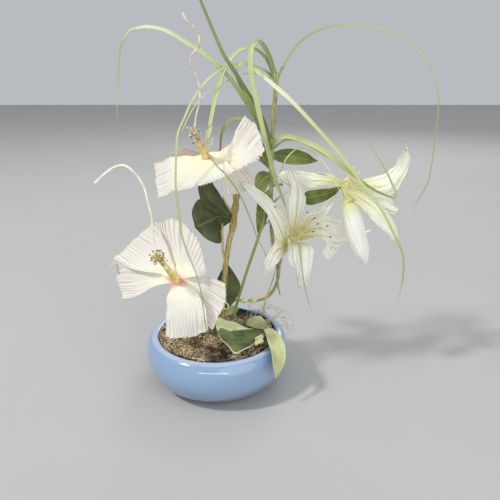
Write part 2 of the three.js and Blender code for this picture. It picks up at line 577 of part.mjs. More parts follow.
// ---------------------------------------------------------------- grass
const TOP_GRASS = [
  { route: [[63, 20, 328], [54, 14, 352], [46, 6, 361], [39, -3, 356], [38, -8, 333],
      [44, -10, 304], [53, -12, 267],
    [62, -20, 234], [71, -32, 211], [76, -42, 190], [83, -47, 179], [87, -50, 157],
    [92, -49, 130], [101, -44, 98]],
  halfWidth: [2.2, 2.4, 2.3, 2.3, 2.4, 2.4, 2.2, 1.8, 1.4, 1] },
  { route: [[62, 19, 328], [53, 17, 346], [44, 15, 354], [35, 14, 356], [27, 14, 354],
      [18, 12, 346], [11, 8, 334],
    [5, -4, 315], [1, -20, 296], [-2, -38, 274], [-2, -50, 263]],
  halfWidth: [2, 1.5, 1.6, 1.9, 1.9, 1.7, 1.4] },
  { route: [[-2, -49, 264], [7, -64, 255], [16, -70, 247], [28, -62, 227], [40, -38, 191],
      [46, -16, 168], [53, 6, 149],
    [57, 13, 129], [61, 19, 115]], halfWidth: [0.8, 0.9, 0.8, 0.7, 0.6] },
  { route: [[62, 21, 327], [44, 20, 332], [30, 20, 332], [18, 20, 327], [2, 19, 320],
      [-12, 17, 309], [-21, 14, 298],
    [-30, 10, 281], [-33, 8, 274]], halfWidth: [1.2, 1, 1.1, 1, 0.8, 0.6] },
  { route: [[61, 23, 329], [49, 20, 337], [35, 14, 341], [23, 8, 341], [11, 2, 337],
      [-3, -6, 327], [-16, -20, 310],
    [-23, -36, 294], [-28, -48, 281], [-29, -58, 263], [-29, -70, 234], [-26, -78, 213],
    [-24, -84, 198],
    [-18, -88, 179], [-12, -90, 164], [-8, -91, 147], [-6, -90, 127], [-5, -87, 110],
    [-2, -82, 94]],
  halfWidth: [1.6, 1.2, 1.1, 1.4, 1.5, 1.3, 1.3, 1, 0.7] },
  { route: [[64, 19, 327], [70, 20, 339], [84, 24, 359], [97, 26, 369], [112, 28, 375],
      [134, 28, 378], [156, 28, 376],
    [172, 28, 372], [186, 27, 367], [199, 26, 358], [212, 25, 346], [221, 24, 333],
    [226, 23, 319], [229, 22, 305],
    [229, 20, 267], [228, 18, 241], [225, 16, 222], [217, 14, 206], [208, 12, 192], [204, 10, 182]],
  halfWidth: [1.3, 0.9, 0.8, 0.7, 0.7, 0.6] },
];
const MIDDLE_GRASS = [
  { route: [[60, 26, 256], [54, 22, 279], [43, 14, 301], [33, 6, 317], [21, -6, 336],
      [13, -10, 348], [6, -12, 363],
    [-7, -16, 394], [-15, -18, 415], [-24, -22, 438], [-35, -28, 461]],
    halfWidth: [2, 2.2, 2, 1.8, 1.4, 0.7] },
  { route: [[59, 27, 257], [49, 24, 280], [41, 21, 294], [30, 17, 309], [18, 14, 326],
      [9, 14, 335], [-1, 13, 344],
    [-14, 12, 354], [-25, 10, 362], [-39, 8, 369], [-49, 7, 371], [-60, 6, 373], [-72, 5, 369],
    [-80, 4, 363],
    [-86, 3, 352], [-90, 2, 337], [-91, 2, 318], [-93, 2, 303], [-96, 2, 288]],
  halfWidth: [1.6, 1.8, 2, 1.8, 1.6, 1.3, 1.2, 1, 0.7] },
  { route: [[60, 25, 257], [49, 16, 283], [37, 8, 306], [27, 4, 323], [24, 2, 334],
      [27.5, 1, 341], [34, 1, 341],
    [41, 0, 336], [52, -3, 328], [63, -6, 319], [75, -9, 309], [101, -16, 283], [125, -24, 257],
    [145, -31, 232],
    [164, -37, 208], [179, -40, 182], [188, -41, 164], [191, -41, 146], [191, -40, 127],
    [188, -38, 103]],
  halfWidth: [2, 2.2, 2, 1.9, 2.4, 2.5, 2.4, 2, 1.6, 1] },
  { route: [[61, 24, 258], [65, 22, 267], [73, 18, 271], [86, 12, 269], [110, 2, 259],
      [133, -10, 242], [157, -20, 225],
    [173, -25, 218], [179, -27, 216]], halfWidth: [1.4, 1.8, 2.4, 2.6, 2.2, 1.4] },
  { route: [[178, -27, 216], [180, -28, 220], [176, -29, 229], [163, -32, 251], [144, -36, 276]],
  halfWidth: [1.2, 1.5, 1.5, 1.2, 0.7] },
  { route: [[62, 28, 257], [68, 26, 263], [75, 24, 267], [87, 20, 266], [103, 14, 259],
      [119, 8, 250], [125, 6, 246]],
  halfWidth: [1.2, 1, 0.7] },
  { route: [[58, 29, 257], [49, 24, 275], [40, 18, 284], [31, 12, 288], [23, 8, 290],
      [14, 5, 286], [9, 4, 277],
    [6, 4, 264]], halfWidth: [1.4, 1.3, 1.1, 1.2, 0.9] },
];
const LOW_GRASS = [
  { route: [[18, 26, 60], [22, 23, 80], [29, 20, 106], [35, 17, 127], [41, 16, 146],
      [47, 16, 165], [51, 16, 179],
    [53, 15, 194], [55, 15, 209]], halfWidth: [2, 1.9, 1.8, 1.4, 0.9] },
  { route: [[46, 16, 163], [52, 17, 175], [59, 18, 182], [65, 19, 190], [71, 19, 197]],
      halfWidth: [1, 0.9, 0.6] },
];
const RIM_GRASS = { route: [[51, 27, 60], [54, 26, 76], [57, 25, 89], [61, 24, 102],
  [64, 24, 112], [67, 25, 125]],
  halfWidth: [1.6, 1.4, 1.2, 0.7] };
const ARCH_GRASS = { route: [[62, 32, 219], [66, 30, 226], [71, 29, 236], [77, 26, 249],
  [87, 22, 258], [97, 18, 258],
  [106, 11, 253], [115, 4, 243], [125, -5, 226], [130, -11, 216]],
  halfWidth: [1.1, 0.9, 0.9, 0.7] };
const SHORT_GRASS = { route: [[60, 32, 195], [70, 26, 206], [78, 21, 212]], halfWidth: [1, 0.6] };
const LOW_STALK = [[17, 27, 44], [17, 27, 54], [19, 25, 66]];
const RIM_STALK = [[51, 28, 44], [50.5, 28, 54], [52, 26.6, 66]];

const stalk = (route, grow) => bar(route, STEM.stalk, 5, 2, grow);

// A sheath of blade roots wrapped round the cane.
function sheath(centre, direction) {
  const half = 6;
  return turned([[0, -half], [3.6, -half], [4.4, 0], [3.8, half], [0, half]], 9, centre, direction);
}

// ---------------------------------------------------------------- bowl, foam and moss
function bowl() {
  const { radius, bulge, rim, height, foot, wall, floor, turns } = BOWL;
  const arc = (count, start, point) => Array.from({ length: count + 1 }, (_, i) =>
    point(THREE.MathUtils.lerp(start, 1, i / count) * Math.PI / 2));
  const below = arc(4, 0.15, (angle) =>
    [foot + (radius - foot) * Math.sin(angle), bulge * (1 - Math.cos(angle))]);
  const above = arc(3, 0.33, (angle) =>
    [rim + (radius - rim) * Math.cos(angle), bulge + (height - bulge) * Math.sin(angle)]);
  const lip = [[rim - 2.4, height - 0.1], [rim - 4.2, height - 1.3]];
  const inside = ([r, z]) => [r - wall, floor + (z * (height - 2.2 - floor)) / height];
  const inner = [...below.slice(2), ...above.slice(0, 2)].reverse().map(inside);
  const profile = [[0, 0], [foot - 1, 0], [foot, 1], ...below, ...above, ...lip, ...inner,
    [foot - 4, floor], [0, floor]];
  return turned(profile, turns);
}

function foam() {
  const base = BOWL.floor + GAP;
  const profile = [[0, base], [38, base], [50, base + 6], [FOAM.radius - 2, base + 13],
    [FOAM.radius, FOAM.top - 10],
    [FOAM.radius, FOAM.top], [0, FOAM.top]];
  return turned(profile, FOAM.turns);
}

// The moss reaches the inner wall in front and stops short of it behind on the right.
function mossReach(angle) {
  const hollow = Math.exp(-(((angle - 0.95) / 0.55) ** 2));
  return MOSS.radius - 15 * hollow;
}

function mossMat() {
  const next = random(41);
  const fractions = [0.001, 0.3, 0.55, 0.77, 0.93, 1];
  const rings = [];
  const ring = (scale, height) => Array.from({ length: MOSS.spokes }, (_, i) => {
    const angle = (i / MOSS.spokes) * Math.PI * 2;
    const reach = mossReach(angle) * scale;
    return new THREE.Vector3(reach * Math.cos(angle), reach * Math.sin(angle), height(next()));
  });
  rings.push(ring(0.99, () => FOAM.top + GAP));
  fractions.slice().reverse().forEach((scale, k) => {
    const edge = k === 0 ? -5 : 0;
    const relief = scale < 0.1 ? 0 : MOSS.relief;
    rings.push(ring(scale, (chance) => MOSS.top + edge + relief * (2 * chance - 1)));
  });
  return loft(rings);
}

// Curled fibres lying in the top of the moss, each with its ends sunk in.
function mossCurls() {
  const next = random(97);
  const place = () => {
    const angle = next() * Math.PI * 2;
    const reach = mossReach(angle) * (0.25 + 0.62 * Math.sqrt(next()));
    return [reach * Math.cos(angle), reach * Math.sin(angle)];
  };
  return Array.from({ length: MOSS.curls }, () => {
    const [x, y] = place();
    const turn = next() * Math.PI * 2;
    const size = 4 + 4 * next();
    const points = [-1, -0.4, 0.4, 1].map((u, k) => {
      const swing = turn + u * 1.7;
      const rise = k % 3 === 0 ? -3.5 : 1.7;
      return [x + size * Math.cos(swing), y + size * Math.sin(swing), MOSS.top + rise];
    });
    return bar(points, MOSS.curlRadius, 3, 4);
  });
}

// Loose pale strands that spring over the rim behind on the right.
const STRANDS = [
  [[44, 24, 53], [52, 30, 62], [60, 33, 67], [68, 34, 66], [77, 33, 62]],
  [[52, 14, 53], [60, 17, 62], [68, 19, 65], [77, 18, 62], [82, 15, 56]],
  [[34, 34, 53], [40, 40, 60], [49, 44, 62], [57, 43, 61]],
];

// ---------------------------------------------------------------- assembly
const hibiscusClear = hibiscusStem(GAP);
const lilyClear = lilyStem(GAP);
const petioleHoles = Object.keys(PETIOLE).map((name) => petiole(name, GAP));
const stalkHoles = [stalk(LOW_STALK, GAP), stalk(RIM_STALK, GAP)];

addPiece('bowl', bowl(), COLOUR.glaze, 0.15);
addPiece('foam_block', without(foam(), [hibiscusClear, lilyClear]), COLOUR.foam, 0.95);
const moss = union([mossMat(), ...mossCurls(), ...STRANDS.map((route) => bar(route, 0.8, 3, 6))]);
const mossHoles = [hibiscusClear, lilyClear, ...petioleHoles, ...stalkHoles];
addPiece('moss', without(moss, mossHoles), COLOUR.moss, 0.95);

const calyxHoles = [calyx(BLOOM_LEFT, GAP), calyx(BLOOM_TOP, GAP)];
addPiece('hibiscus_stem', without(hibiscusStem(0), calyxHoles), COLOUR.bark, 0.8);
addBloom('hibiscus_left', BLOOM_LEFT, LEFT_PETALS, LEFT_STYLE, 7);
addBloom('hibiscus_top', BLOOM_TOP, TOP_PETALS, TOP_STYLE, 11);

addLeaf('hibiscus_leaf_upper', COLOUR.darkLeaf, [hibiscusClear]);
addLeaf('hibiscus_leaf_lower', COLOUR.darkLeaf, [hibiscusClear]);
addLeaf('hibiscus_leaf_upright', COLOUR.darkLeaf, [hibiscusClear]);
for (const name of ['leaf_small_back', 'leaf_over_moss', 'leaf_small_rim', 'leaf_over_rim']) {
  addLeaf(name, COLOUR.paleLeaf, [hibiscusClear, lilyClear]);
}

const tepals = (forms) => forms.map((form) => petal(form, 4, 5));
const frontHead = union([lilyTube(0), ...tepals(FRONT_LILY)]);
const sideHead = union([bead([136.5, 5.5, 222.5], 4.6, 1.3, [0.4, 0.9, 0]), ...tepals(SIDE_LILY)]);
const neckClear = budNeck(GAP);
addPiece('lily_stem', without(lilyStem(0), [lilyTube(GAP)]), COLOUR.cane, 0.75);
addPiece('lily_front_petals', without(frontHead, [lilyStamens(FRONT_STAMENS, GAP)]), COLOUR.lily);
addPiece('lily_front_stamens', lilyStamens(FRONT_STAMENS, 0), COLOUR.anther);
const sideHoles = [lilyStamens(SIDE_STAMENS, GAP), lilyClear, neckClear];
addPiece('lily_side_petals', without(sideHead, sideHoles), COLOUR.lily);
addPiece('lily_side_stamens', lilyStamens(SIDE_STAMENS, 0), COLOUR.anther);
addPiece('lily_bud', without(bud(), [neckClear]), COLOUR.bud);
addPiece('lily_bud_neck', without(budNeck(0), [lilyClear]), COLOUR.calyx);
for (const side of ['right', 'under', 'pale', 'left', 'low']) {
  addLeaf(`lily_leaf_${side}`, COLOUR.lilyLeaf, [lilyClear]);
}

const topGrass = union([sheath([63, 20.2, 328], [0.03, -0.1, 1]), ...TOP_GRASS.map(blade)]);
const middleGrass = union([sheath([60.3, 27.4, 262], [0.04, -0.1, 1]), ...MIDDLE_GRASS.map(blade)]);
addPiece('grass_top', without(topGrass, [lilyClear]), COLOUR.grass, 0.65);
addPiece('grass_middle', without(middleGrass, [lilyClear]), COLOUR.grass, 0.65);
addPiece('grass_low', union([...LOW_GRASS.map(blade), stalk(LOW_STALK, 0)]), COLOUR.grass, 0.65);
addPiece('grass_rim', union([blade(RIM_GRASS), stalk(RIM_STALK, 0)]), COLOUR.grass, 0.65);
addPiece('grass_arch', without(blade(ARCH_GRASS), [lilyClear]), COLOUR.grass, 0.65);
addPiece('grass_short', without(blade(SHORT_GRASS), [lilyClear]), COLOUR.grass, 0.65);

export default arrangement;
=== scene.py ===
# %% [markdown]
# # An ikebana arrangement, piece by piece
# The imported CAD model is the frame: it fixes the size and the place of every bloom, leaf, blade and
# stem. This lesson dresses it. Each step says what the piece is on a real arrangement, how it could
# be made and why this way was chosen. Lengths are in metres for Blender; the tables of points and the
# widths beside them are in millimetres and are turned to metres where they are used.

# %% Load the frame
import math
import random

import bmesh
import bpy
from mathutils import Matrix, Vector, noise


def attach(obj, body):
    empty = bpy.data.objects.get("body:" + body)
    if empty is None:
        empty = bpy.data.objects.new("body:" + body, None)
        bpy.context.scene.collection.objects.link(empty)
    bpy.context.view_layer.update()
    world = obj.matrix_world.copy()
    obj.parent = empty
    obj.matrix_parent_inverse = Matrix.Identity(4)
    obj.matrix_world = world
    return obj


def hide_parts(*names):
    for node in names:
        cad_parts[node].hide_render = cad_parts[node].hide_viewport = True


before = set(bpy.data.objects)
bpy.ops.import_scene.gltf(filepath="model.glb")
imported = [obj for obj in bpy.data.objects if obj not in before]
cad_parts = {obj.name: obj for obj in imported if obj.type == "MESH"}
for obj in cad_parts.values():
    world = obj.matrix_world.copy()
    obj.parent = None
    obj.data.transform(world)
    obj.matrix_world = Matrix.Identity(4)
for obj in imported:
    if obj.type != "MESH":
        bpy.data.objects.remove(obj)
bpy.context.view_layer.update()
MM = 0.001
print("nodes in the frame:", len(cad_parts))

# %% [markdown]
# ## The camera
# The camera comes first, because it decides which details matter most. It stands a little right of
# the bowl, half a metre in front, and looks down by about 19 degrees.

# %% Camera
LOOK_DOWN = 19.05
camera = bpy.data.objects.new("camera", bpy.data.cameras.new("camera"))
camera.data.sensor_width = 36
camera.data.lens = 36.07
camera.location = (0.037, -0.509, 0.329)
camera.rotation_euler = (math.radians(90 - LOOK_DOWN), 0, 0)
bpy.context.scene.collection.objects.link(camera)
bpy.context.scene.camera = camera
print("camera height:", camera.location.z)

# %% [markdown]
# ## Smooth routes
# Stems, blades and the edges of petals all run along smooth lines through a few points. A
# Catmull-Rom line passes through each of its points, so the tables can be read as places in the
# arrangement. The centripetal kind is used because it never overshoots at a tight bend.

# %% A line through points
def spline(points):
    """A function that gives the place at t (0 to 1) on a smooth line through points in mm."""
    knots = [Vector(point) * MM for point in points]
    first = knots[0] * 2 - knots[1]
    last = knots[-1] * 2 - knots[-2]
    padded = [first, *knots, last]

    def place(t):
        position = min(max(t, 0.0), 1.0) * (len(knots) - 1)
        index = min(int(position), len(knots) - 2)
        u = position - index
        p0, p1, p2, p3 = padded[index:index + 4]
        d0, d1, d2 = ((b - a).length ** 0.5 or 1.0 for a, b in ((p0, p1), (p1, p2), (p2, p3)))
        start = ((p1 - p0) / d0 - (p2 - p0) / (d0 + d1) + (p2 - p1) / d1) * d1
        end = ((p2 - p1) / d1 - (p3 - p1) / (d1 + d2) + (p3 - p2) / d2) * d1
        bend = (p2 - p1) * 3 - start * 2 - end
        twist = (p1 - p2) * 2 + start + end
        return p1 + start * u + bend * u * u + twist * u ** 3

    return place


def along(values, t):
    """The value at t (0 to 1) of a list of two or more evenly spaced values."""
    position = min(max(t, 0.0), 1.0) * (len(values) - 1)
    index = min(int(position), len(values) - 2)
    return values[index] + (values[index + 1] - values[index]) * (position - index)


def direction(line, t, step=0.01):
    """The unit direction of a line at t."""
    return (line(min(t + step, 1)) - line(max(t - step, 0))).normalized()


def around(aim, turn):
    """The unit direction at an angle round an axis."""
    side = aim.orthogonal().normalized()
    return side * math.cos(turn) + aim.cross(side) * math.sin(turn)


def soft_noise(*where):
    """Smooth noise between about -1 and 1 at three numbers."""
    return noise.noise(Vector(where))


print("half way along a test line:", spline([[0, 0, 0], [10, 0, 0], [20, 5, 0]])(0.5))

# %% [markdown]
# ## Sheets and tubes
# Nearly everything here is a thin sheet or a round tube. Both start as Blender's grid, which is two
# units wide, so a corner's x runs from -1 to 1 across (s) and its y gives 0 to 1 along (t). A sheet
# moves each corner to its place on the petal; a tube rolls the grid round a route and merges the
# seam and the poles. The grid also brings a UV map, which patterns such as veins follow.

# %% Add a sheet
def add_sheet(mesh, place, columns, rows, marks=None):
    """Adds a grid to a bmesh, with the corner (s, t) at place(s, t) and numbers stored as marks."""
    marks = marks or {}
    mesh.loops.layers.uv.verify()
    kept = mesh.verts.layers.float
    for name in marks:
        if kept.get(name) is None:
            kept.new(name)
    layers = {name: kept.get(name) for name in marks}
    made = bmesh.ops.create_grid(mesh, x_segments=columns, y_segments=rows, size=1, calc_uvs=True)
    for corner in made["verts"]:
        s, t = corner.co.x, (corner.co.y + 1) / 2
        corner.co = place(s, t)
        for name, layer in layers.items():
            value = marks[name]
            corner[layer] = value(s, t) if callable(value) else value
    return made["verts"]


print("sheet builder ready")

# %% Add a tube
def add_tube(mesh, points, radius, rings, sides=10, marks=None):
    """Rolls a grid round a smooth route. radius is a number of mm or a function of (t, angle)."""
    line = spline(points)
    size = radius if callable(radius) else (lambda t, angle: radius)
    stations = [0, 0] + [i / rings for i in range(rings + 1)] + [1, 1]
    closing = [0, 0.7] + [1] * (rings + 1) + [0.7, 0]
    frames = []
    side = direction(line, 0).orthogonal().normalized()
    for t in stations:
        ahead = direction(line, t)
        side = (side - ahead * side.dot(ahead)).normalized()
        frames.append((line(t), side, ahead.cross(side)))
    last = len(stations) - 1

    def place(s, t):
        row = round(t * last)
        centre, across, up = frames[row]
        angle = math.pi * (s + 1)
        reach = size(stations[row], angle) * closing[row] * MM
        return centre + (across * math.cos(angle) + up * math.sin(angle)) * reach

    corners = add_sheet(mesh, place, sides, last, marks)
    bmesh.ops.remove_doubles(mesh, verts=corners, dist=1e-6)


print("tube builder ready")

# %% [markdown]
# ## Finishing a piece
# A finished piece is an object at the origin, unturned and unscaled. It rides on the frame's only
# body and hides the CAD nodes that it dresses. Sheets get their
# thickness from a Solidify modifier, which can also give the back its own material.

# %% Make an object from a bmesh
def finish_piece(mesh, name, nodes, materials, thickness=0):
    data = bpy.data.meshes.new(name)
    mesh.to_mesh(data)
    mesh.free()
    for made in materials:
        data.materials.append(made)
    data.polygons.foreach_set("use_smooth", [True] * len(data.polygons))
    piece = bpy.data.objects.new(name, data)
    bpy.context.scene.collection.objects.link(piece)
    if thickness:
        wall = piece.modifiers.new("thickness", "SOLIDIFY")
        wall.thickness = thickness * MM
        wall.offset = 0
        wall.material_offset = len(materials) - 1
    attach(piece, "root")
    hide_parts(*nodes)
    print(name, "faces:", len(data.polygons))


print("finishing helper ready")

# %% [markdown]
# ## Colours and shader helpers
# Colours are written as a paint program shows them, 0 to 255, and turned to the linear numbers that
# shaders mix. The Shader class keeps a new material short: it adds nodes, joins them and hands back
# the socket that the next node needs.

# %% Colours
def tint(red, green, blue):
    """A colour of 0 to 255 as linear red, green, blue and alpha."""
    parts = [value / 255 for value in (red, green, blue)]
    return tuple(p / 12.92 if p < 0.04 else ((p + 0.055) / 1.055) ** 2.4 for p in parts) + (1.0,)


print("white petal:", [round(part, 2) for part in tint(246, 243, 238)])

# %% A short way to build materials
class Shader:
    def __init__(self, name, **settings):
        self.material = bpy.data.materials.new(name)
        self.material.use_nodes = True
        self.tree = self.material.node_tree
        self.surface = self.tree.nodes["Principled BSDF"]
        for socket, value in settings.items():
            self.surface.inputs[socket.replace("_", " ")].default_value = value
        self.place = self.tree.nodes.new("ShaderNodeTexCoord").outputs["Object"]

    def add(self, kind, inputs=(), **settings):
        made = self.tree.nodes.new("ShaderNode" + kind)
        for key, value in settings.items():
            setattr(made, key, value)
        for key, value in dict(inputs).items():
            if isinstance(value, bpy.types.NodeSocket):
                self.tree.links.new(value, made.inputs[key])
            else:
                made.inputs[key].default_value = value
        return made

    def maths(self, operation, first, second=0.5):
        return self.add("Math", {0: first, 1: second}, operation=operation).outputs[0]

    def times(self, first, second):
        return self.maths("MULTIPLY", first, second)

    def plus(self, first, second):
        return self.maths("ADD", first, second)

    def minus(self, first, second):
        return self.maths("SUBTRACT", first, second)

    def apart(self, first, second):
        """How far two values are from each other."""
        return self.maths("ABSOLUTE", self.minus(first, second))

    def blend(self, factor, first, second):
        return self.add("Mix", {0: factor, 6: first, 7: second}, data_type="RGBA").outputs[2]

    def ramp(self, value, low, high):
        """0 below low and 1 above high, with a soft step between."""
        return self.add("MapRange", {"Value": value, "From Min": low, "From Max": high},
                        interpolation_type="SMOOTHSTEP").outputs[0]

    def mark(self, name):
        return self.add("Attribute", attribute_name=name).outputs["Fac"]

    def uv_map(self):
        return self.add("UVMap").outputs[0]

    def uv(self):
        """How far across a sheet and how far along it, each 0 to 1."""
        halves = self.add("SeparateXYZ", {0: self.uv_map()})
        return halves.outputs[0], halves.outputs[1]

    def height(self):
        return self.add("SeparateXYZ", {0: self.place}).outputs[2]

    def stretched(self, scale, where=None):
        """Coordinates stretched by a scale for each axis."""
        return self.add("Mapping", {0: where or self.place, 3: scale}).outputs[0]

    def clouds(self, scale, where=None, detail=4, roughness=0.55):
        return self.add("TexNoise", {"Vector": where or self.place, "Scale": scale,
                                     "Detail": detail, "Roughness": roughness}).outputs[0]

    def paint(self, colour):
        self.tree.links.new(colour, self.surface.inputs["Base Color"])

    def relief(self, height, strength, distance):
        made = self.add("Bump", {"Height": height, "Strength": strength, "Distance": distance})
        self.tree.links.new(made.outputs[0], self.surface.inputs["Normal"])


print("shader helper ready")

# %% [markdown]
# ## The glazed bowl
# A low ikebana bowl is thrown on a wheel: a wide belly on a small foot, with a rim that curves in.
# Its section is drawn once and spun round the axis, as the wheel does. The glaze is a smooth
# periwinkle blue, painted greyer towards the foot as shade, and it breaks pale on the rim.

# %% Section of the bowl, in mm
BOWL_RADIUS = 80
BOWL_HEIGHT = 56.3
BELLY_HEIGHT = 36.2
RIM_RADIUS = 70.1
FOOT_RADIUS = 44
FOOT_HOLLOW = 0.6
WALL = 4.5
FLOOR = 7
BOWL_STEPS = 128


def steps(first, count):
    """Evenly spaced numbers from first to 1."""
    return [first + (1 - first) * i / (count - 1) for i in range(count)]


def bowl_section():
    """Points (radius, height) from the middle of the foot, up the outside, over and down inside."""
    quarter = math.pi / 2
    below = [(FOOT_RADIUS + (BOWL_RADIUS - FOOT_RADIUS) * math.sin(u * quarter),
              BELLY_HEIGHT * (1 - math.cos(u * quarter))) for u in steps(0.1, 15)]
    above = [(RIM_RADIUS + (BOWL_RADIUS - RIM_RADIUS) * math.cos(u * quarter),
              BELLY_HEIGHT + (BOWL_HEIGHT - BELLY_HEIGHT) * math.sin(u * quarter))
             for u in steps(0.08, 12)]
    lip = [(RIM_RADIUS - inward, BOWL_HEIGHT - drop)
           for inward, drop in ((1.3, 0), (2.5, 0.2), (3.6, 0.8), (4.3, 1.7))]
    squeeze = (BOWL_HEIGHT - 2.6 - FLOOR) / BOWL_HEIGHT
    inner = [(r - WALL, FLOOR + z * squeeze) for r, z in (below + above[:-1])[3:]]
    foot = [(0, FOOT_HOLLOW), (FOOT_RADIUS - 5, FOOT_HOLLOW), (FOOT_RADIUS - 4, 0),
            (FOOT_RADIUS - 0.8, 0), (FOOT_RADIUS, 0.7)]
    return [*foot, *below, *above, *lip, *reversed(inner), (FOOT_RADIUS - 6, FLOOR), (0, FLOOR)]


bowl = bmesh.new()
section = [bowl.verts.new((r * MM, 0, z * MM)) for r, z in bowl_section()]
outline = [bowl.edges.new(pair) for pair in zip(section, section[1:])]
bmesh.ops.spin(bowl, geom=section + outline, cent=(0, 0, 0), axis=(0, 0, 1), dvec=(0, 0, 0),
               angle=math.tau, steps=BOWL_STEPS, use_merge=True)
bmesh.ops.remove_doubles(bowl, verts=bowl.verts, dist=1e-6)
bmesh.ops.recalc_face_normals(bowl, faces=bowl.faces)
print("bowl faces:", len(bowl.faces))

# %% Glaze
glaze = Shader("blue_glaze", Roughness=0.16, Coat_Weight=0.8, Coat_Roughness=0.04, IOR=1.5)
height = glaze.height()
drift = glaze.clouds(14, detail=3)
# painted shade: the glaze is painted darker and greyer towards the foot
painted_shade_low = glaze.ramp(glaze.plus(height, glaze.times(drift, 0.012)), 0.006, 0.04)
body = glaze.blend(painted_shade_low, tint(101, 121, 148), tint(136, 162, 195))
speck = glaze.ramp(glaze.clouds(900, detail=1), 0.66, 0.74)
body = glaze.blend(glaze.times(speck, 0.25), body, tint(112, 136, 176))
rim = glaze.ramp(glaze.plus(height, glaze.times(drift, 0.002)), 0.0552, 0.0572)
glaze.paint(glaze.blend(glaze.times(rim, 0.6), body, tint(196, 210, 232)))
glaze.relief(glaze.clouds(60, detail=2), 0.12, 0.001)
finish_piece(bowl, "glazed_bowl", ["bowl"], [glaze.material])

# %% [markdown]
# ## Foam under the moss
# The stems of such an arrangement stand in a block of green floral foam, which the moss hides. The
# CAD block has the right shape, so it only gets a finish: fine open cells, a little uneven in tone.

# %% Foam finish
foam = Shader("floral_foam", Roughness=0.95)
cells = foam.add("TexVoronoi", {"Vector": foam.place, "Scale": 900}).outputs["Distance"]
foam.paint(foam.blend(foam.clouds(40), tint(52, 88, 48), tint(88, 122, 70)))
foam.relief(cells, 0.7, 0.0006)
foam_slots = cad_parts["foam_block"].data.materials
foam_slots.clear()
foam_slots.append(foam.material)
print("foam finishes:", len(foam_slots))

# %% [markdown]
# ## The bed of moss
# The moss is a bed of dried wood fibres: a dark uneven ground with a thick tangle of curled shavings
# on top. The ground is one rolled sheet, closed below, that stops short of the wall behind on the
# right, as a real bed does. A displaced plane could give the bumps, but a rolled body also closes
# the edge.

# %% Ground of the bed
MOSS_RADIUS = 65
MOSS_DIP = dict(depth=15, at=0.95, wide=0.55)
GROUND_PARTS = [0, 0.99, 1, 0.96, 0.8, 0.6, 0.4, 0.2, 0]
GROUND_LEVELS = [40.3, 40.3, 47, 53, 53.8, 54.2, 54.5, 54.6, 54.6]
GROUND_UNDERSIDE = 0.3


def moss_reach(angle):
    """How far the bed reaches from the axis, in mm, at an angle."""
    away = (angle + math.pi) % math.tau - math.pi - MOSS_DIP["at"]
    return MOSS_RADIUS - MOSS_DIP["depth"] * math.exp(-(away / MOSS_DIP["wide"]) ** 2)


def moss_ground(s, t):
    """From the middle of the underside, out, up and over to the middle of the top."""
    angle = math.pi * (s + 1)
    out = moss_reach(angle) * along(GROUND_PARTS, t)
    where = Vector((out * math.cos(angle), out * math.sin(angle), along(GROUND_LEVELS, t))) * MM
    bumps = noise.noise(where * 90) * 2.6 + noise.noise(where * 260) * 1.2
    return where + Vector((0, 0, bumps * MM if t > GROUND_UNDERSIDE else 0))


mesh = bmesh.new()
corners = add_sheet(mesh, moss_ground, 90, 64)
bmesh.ops.remove_doubles(mesh, verts=corners, dist=1e-5)
bmesh.ops.recalc_face_normals(mesh, faces=mesh.faces)
ground = Shader("moss_ground", Roughness=0.95)
ground.paint(ground.blend(ground.clouds(160, detail=6), tint(38, 28, 16), tint(120, 92, 54)))
ground.relief(ground.clouds(700, detail=6), 0.9, 0.002)
finish_piece(mesh, "moss_ground", ["moss"], [ground.material])

# %% [markdown]
# ## Curled fibres
# Each shaving is a thin strand that wanders as it goes. Thousands of them would be slow to roll one
# by one, so a curve object with a bevel draws them all and is then turned into a mesh. Four bundles
# of different tones lie in each other: deep brown ones low down, partly painted shade in the gaps, tan
# and straw ones above and a few bleached ones on top. Patches of painted shade darken them here and there.

# %% The way of one fibre
FIBRE_STEPS = 8


def wander(chance, low, high):
    """The points of one curled fibre that stays on the bed, in metres."""
    angle = chance.uniform(0, math.tau)
    out = moss_reach(angle) * math.sqrt(chance.uniform(0, 0.99))
    x, y = out * math.cos(angle), out * math.sin(angle)
    heading = chance.uniform(0, math.tau)
    turn = chance.choice((-1, 1)) * chance.uniform(0.15, 0.85)
    level, lift, phase = chance.uniform(low, high), chance.uniform(0.5, 2.4), chance.uniform(0, 6)
    step = chance.uniform(1.3, 3.0)
    points = []
    for i in range(FIBRE_STEPS + 1):
        z = level + lift * math.sin(phase + i * 0.8) - (1.2 if i in (0, FIBRE_STEPS) else 0)
        points.append((x * MM, y * MM, z * MM))
        heading += turn + chance.uniform(-0.15, 0.15)
        x, y = x + step * math.cos(heading), y + step * math.sin(heading)
        limit = moss_reach(math.atan2(y, x)) / max(math.hypot(x, y), 1)
        if limit < 1:
            x, y = x * limit, y * limit
            heading += 0.9
    return points


print("a fibre's first point:", wander(random.Random(1), 51, 55)[0])

# %% A mesh of thin strands
def add_fibres(chance, name, lines, thickness, finish, node="moss"):
    """Turns lists of points (in metres) into one mesh of strands, each a little thicker or thinner."""
    curve = bpy.data.curves.new(name, "CURVE")
    curve.dimensions = "3D"
    curve.bevel_depth = thickness * MM
    curve.bevel_resolution = 0
    curve.use_fill_caps = True
    for points in lines:
        strand = curve.splines.new("POLY")
        strand.points.add(len(points) - 1)
        width = chance.uniform(0.6, 1.15)
        for point, place in zip(strand.points, points):
            point.co = (*place, 1)
            point.radius = width
    drawn = bpy.data.objects.new(name + "_curve", curve)
    mesh = bmesh.new()
    mesh.from_mesh(drawn.to_mesh())
    drawn.to_mesh_clear()
    bpy.data.objects.remove(drawn)
    finish_piece(mesh, name, [node], [finish])


print("strand builder ready")

